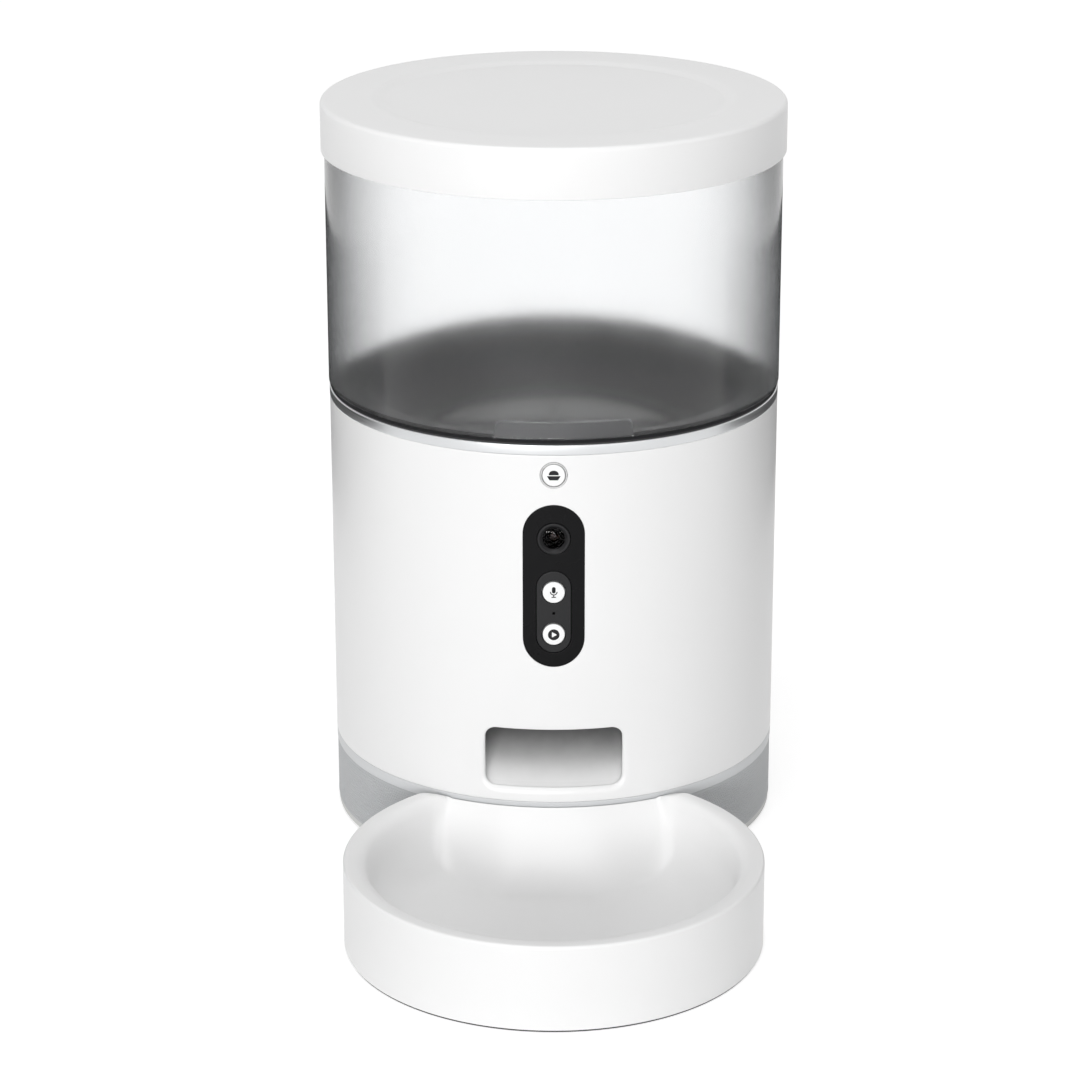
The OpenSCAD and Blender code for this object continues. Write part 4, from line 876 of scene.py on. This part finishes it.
BIN_LOW, BIN_HIGH, BIN_R, BIN_IN = 192.3 * MM, 308.3 * MM, 95.4 * MM, 93.2 * MM
bin_wall = box_section(BIN_IN, BIN_R, BIN_LOW, BIN_HIGH, np.array([0.2, 0.4, 0.6, 0.6]) * MM)
closed_mesh("clear_bin", *turned(bin_wall), frosted_clear(), "clear_plastic", "hopper", "food_container")


# Lid: a white cap with a rounded edge and a shallow round dish in its top. A ring below it reaches into the
# container and holds a soft seal.
LID_R, LID_LOW, LID_TOP, LID_UNDER = 96.8 * MM, 290.7 * MM, 311.7 * MM, 308.7 * MM
LID_IN, LID_FLOOR, LID_FLOOR_R, LID_STEP_R = LID_R - 1.0 * MM, LID_TOP - 1.2 * MM, 70.6 * MM, 75.4 * MM
lid = rounded(
    [[0.0, LID_FLOOR], [LID_FLOOR_R, LID_FLOOR], [LID_STEP_R, LID_TOP], [LID_R, LID_TOP], [LID_R, LID_LOW],
     [LID_IN, LID_LOW], [LID_IN, LID_UNDER], [0.0, LID_UNDER]],
    np.array([0.0, 6.0, 6.0, 2.0, 0.3, 0.3, 1.0, 0.0]) * MM, 9,
)
closed_mesh("lid_cap", *turned(lid), white_plastic, "white_plastic", "lid", "lid_cover")
coat(white_plastic, "lid_plug")
coat(moulded("pale_rubber", (0.62, 0.62, 0.60), 0.65, relief=0.2), "lid_seal")


# Bowl: a loose white dish with a broad flat rim. Its back is cut to fit round the base, and a hollow slope there
# lets the food slide from the outlet to the middle. It stands on four rubber feet under moulded pads. A thin black
# ring under its edge is a painted shadow: it stands in for the contact shadow there.
def soft_most(a, b, reach):
    """The greater of two fields, blended by a parabola where they differ by less than the reach."""
    share = np.clip(0.5 + 0.5 * (a - b) / reach, 0, 1)
    return a * share + b * (1 - share) + reach * share * (1 - share)


BOWL_R, BOWL_RIM, BOWL_FLOOR, BOWL_CUT, BOWL_Y = 84.2, 36.2, 7.6, 95.8, -81.0
BOWL_AXIS = TOWER_Y / MM
BOWL_APART, BOWL_SKY, ARC_STEPS = BOWL_AXIS - BOWL_Y, 60.0, 14
DISH_TOP, DISH_FOOT, DISH_TOP_ROUND, DISH_FOOT_ROUND = 8.8, 14.5, 6.0, 21.0
dish_corners = [[0, BOWL_RIM], [DISH_TOP, BOWL_RIM], [DISH_FOOT, BOWL_FLOOR], [BOWL_R, BOWL_FLOOR]]
dish_line = rounded(
    dish_corners + [[BOWL_R, BOWL_SKY], [0, BOWL_SKY]], [0, DISH_TOP_ROUND, DISH_FOOT_ROUND, 0, 0, 0], ARC_STEPS
)[ARC_STEPS:3 * ARC_STEPS]
SLOPE_RISE, SLOPE_LEAST, SLOPE_MORE, SLOPE_HALF, FLANK_X = 26.6, 14.0, 22.5, 32.0, 48.0
SLOPE_HOLLOW, FLANK_FULL, SLOPE_BLEND, FLANK_BLEND = 0.8, 1.2, 1.2, 12.0
BACK_EDGE, BACK_CLIMB, BACK_BLEND, HORN_THICK, HORN_LONG = 33.7, 0.32, 0.8, 2.6, 30.0


def bowl_height(x, y, wall):
    """Height of the bowl's skin, in millimetres. The dish follows its section from the rim to the floor, and its
    wall thickens towards the horns. A slope falls from the cut back edge: hollow and with its longest reach in the
    middle, and full and short at its flanks. The greater of the two is taken, with a blend that widens at the
    flanks, and the rim and the rising back edge limit it. A wall moves all of it."""
    behind = np.hypot(x, y - BOWL_AXIS) - BOWL_CUT
    narrow = HORN_THICK * np.clip(1 - behind / HORN_LONG, 0, 1) ** 2
    dish = np.interp(BOWL_R - np.hypot(x, y - BOWL_Y) + wall + narrow, dish_line[:, 0], dish_line[:, 1])
    flank = np.minimum((x / FLANK_X) ** 2, 1.0)
    share = (behind + wall) / (SLOPE_LEAST + SLOPE_MORE / (1 + np.abs(x / SLOPE_HALF) ** 5))
    bend = SLOPE_HOLLOW - FLANK_FULL * flank
    fall = np.where(share < 1, (1 - share) * (1 - bend * share), (1 - bend) * (1 - share))
    slope = BOWL_FLOOR + SLOPE_RISE * fall
    top = np.minimum(BOWL_RIM, BACK_EDGE + BACK_CLIMB * (behind + wall))
    inside = soft_most(dish, slope, SLOPE_BLEND + FLANK_BLEND * flank**2)
    return -soft_most(-inside, -top, BACK_BLEND) - wall


def bowl_loop(inset, rim_steps=200, cut_steps=72):
    """Closed loop at a distance inside the bowl's outline: an arc about its middle and one about the tower, which
    meet at two horns. A running mean rounds the horns."""
    rim_r, cut_r = BOWL_R - inset, BOWL_CUT + inset
    up = (BOWL_APART**2 + rim_r**2 - cut_r**2) / (2 * BOWL_APART)
    out = np.sqrt(rim_r**2 - up**2)
    rim_turn = np.linspace(-np.pi / 2, np.arctan2(up, out), rim_steps)
    cut_turn = np.linspace(np.arcsin(out / cut_r), 0, cut_steps)[1:]
    rim = np.stack([rim_r * np.cos(rim_turn), BOWL_Y + rim_r * np.sin(rim_turn)], axis=-1)
    cut = np.stack([cut_r * np.sin(cut_turn), BOWL_AXIS - cut_r * np.cos(cut_turn)], axis=-1)
    right = np.concatenate([rim, cut])
    loop = np.concatenate([right, right[-2:0:-1] * [-1, 1]])
    return np.mean([np.roll(loop, k, axis=0) for k in range(-4, 5)], axis=0)


BOWL_EDGE, BOWL_WALL, BOWL_LOW, BOWL_BEND, BOWL_POLE = 1.2, 2.4, 1.0, 26.0, -90.0


def bowl_skin(wall, insets, inner_rows):
    """Rows of points that follow the bowl's outline, less a wall, at the given insets, and then run to a point
    near its middle."""
    rows = np.stack([bowl_loop(wall + inset) for inset in insets])
    middle = np.array([0.0, BOWL_POLE])
    share = np.linspace(0, 1, inner_rows + 1)[1:, None, None]
    rows = np.concatenate([rows, rows[-1] * (1 - share) + middle * share])
    return np.concatenate([rows, bowl_height(rows[..., 0], rows[..., 1], wall)[..., None]], axis=-1)


def from_level(rows, level):
    """The first of the rows moved to a level, as a bottom edge before the rows."""
    return np.concatenate([rows[:1] * [1, 1, 0] + [0, 0, level], rows])


edge_turn = np.linspace(0, np.pi / 2, 7)
dish_rows = dish_line[dish_line[:, 0] < BOWL_BEND, 0]
upper = bowl_skin(0.0, np.concatenate([BOWL_EDGE * (1 - np.cos(edge_turn)), [2.6], dish_rows, [BOWL_BEND]]), 26)
upper[:len(edge_turn), :, 2] -= (BOWL_EDGE * (1 - np.sin(edge_turn)))[:, None]
lower = bowl_skin(BOWL_WALL, np.linspace(0, BOWL_BEND, 14), 10)
bowl = np.concatenate([from_level(upper, BOWL_LOW), from_level(lower, BOWL_LOW)[::-1]]) * MM
bowl_faces = grid_faces(*bowl.shape[:2], wrap_rows=True)
closed_mesh("bowl_dish", bowl, bowl_faces, white_plastic, "white_plastic", "bowl", "feeding_bowl")

# Painted shadow: a thin black ring under the bowl's edge, standing in for its contact shadow on the floor.
SHADOW_RING_LOW, SHADOW_RING_TOP, SHADOW_RING_INSET, SHADOW_RING_WIDE = 0.2, 1.2, 0.5, 1.6
shadow_ring_out, shadow_ring_in = bowl_skin(SHADOW_RING_INSET, [0.0, SHADOW_RING_WIDE], 0) * [1, 1, 0]
shadow_ring_low, shadow_ring_top = [0, 0, SHADOW_RING_LOW], [0, 0, SHADOW_RING_TOP]
shadow_ring = np.stack([shadow_ring_out + shadow_ring_low, shadow_ring_out + shadow_ring_top, shadow_ring_in + shadow_ring_top, shadow_ring_in + shadow_ring_low]) * MM
shadow_ring_faces = grid_faces(*shadow_ring.shape[:2], wrap_rows=True)
closed_mesh("bowl_shadow_ring", shadow_ring, shadow_ring_faces, black_rubber, "black_rubber", "bowl")

PAD_R, PAD_LOW, PAD_TOP, PAD_RING = 5.5 * MM, 1.0 * MM, 5.5 * MM, (BOWL_R - 25.0) * MM
pad = box_section(0.0, PAD_R, PAD_LOW, PAD_TOP, np.array([0.0, 0.3, 0.1, 0.0]) * MM)
pad_turn = np.radians([32.0, 148.0, 225.0, 315.0])
pads = [turned(pad, 48, (PAD_RING * np.cos(a), PAD_RING * np.sin(a) + BOWL_Y * MM)) for a in pad_turn]
closed_mesh("bowl_pads", *joined(*pads), white_plastic, "white_plastic", "bowl")
coat(black_rubber, "bowl_feet")
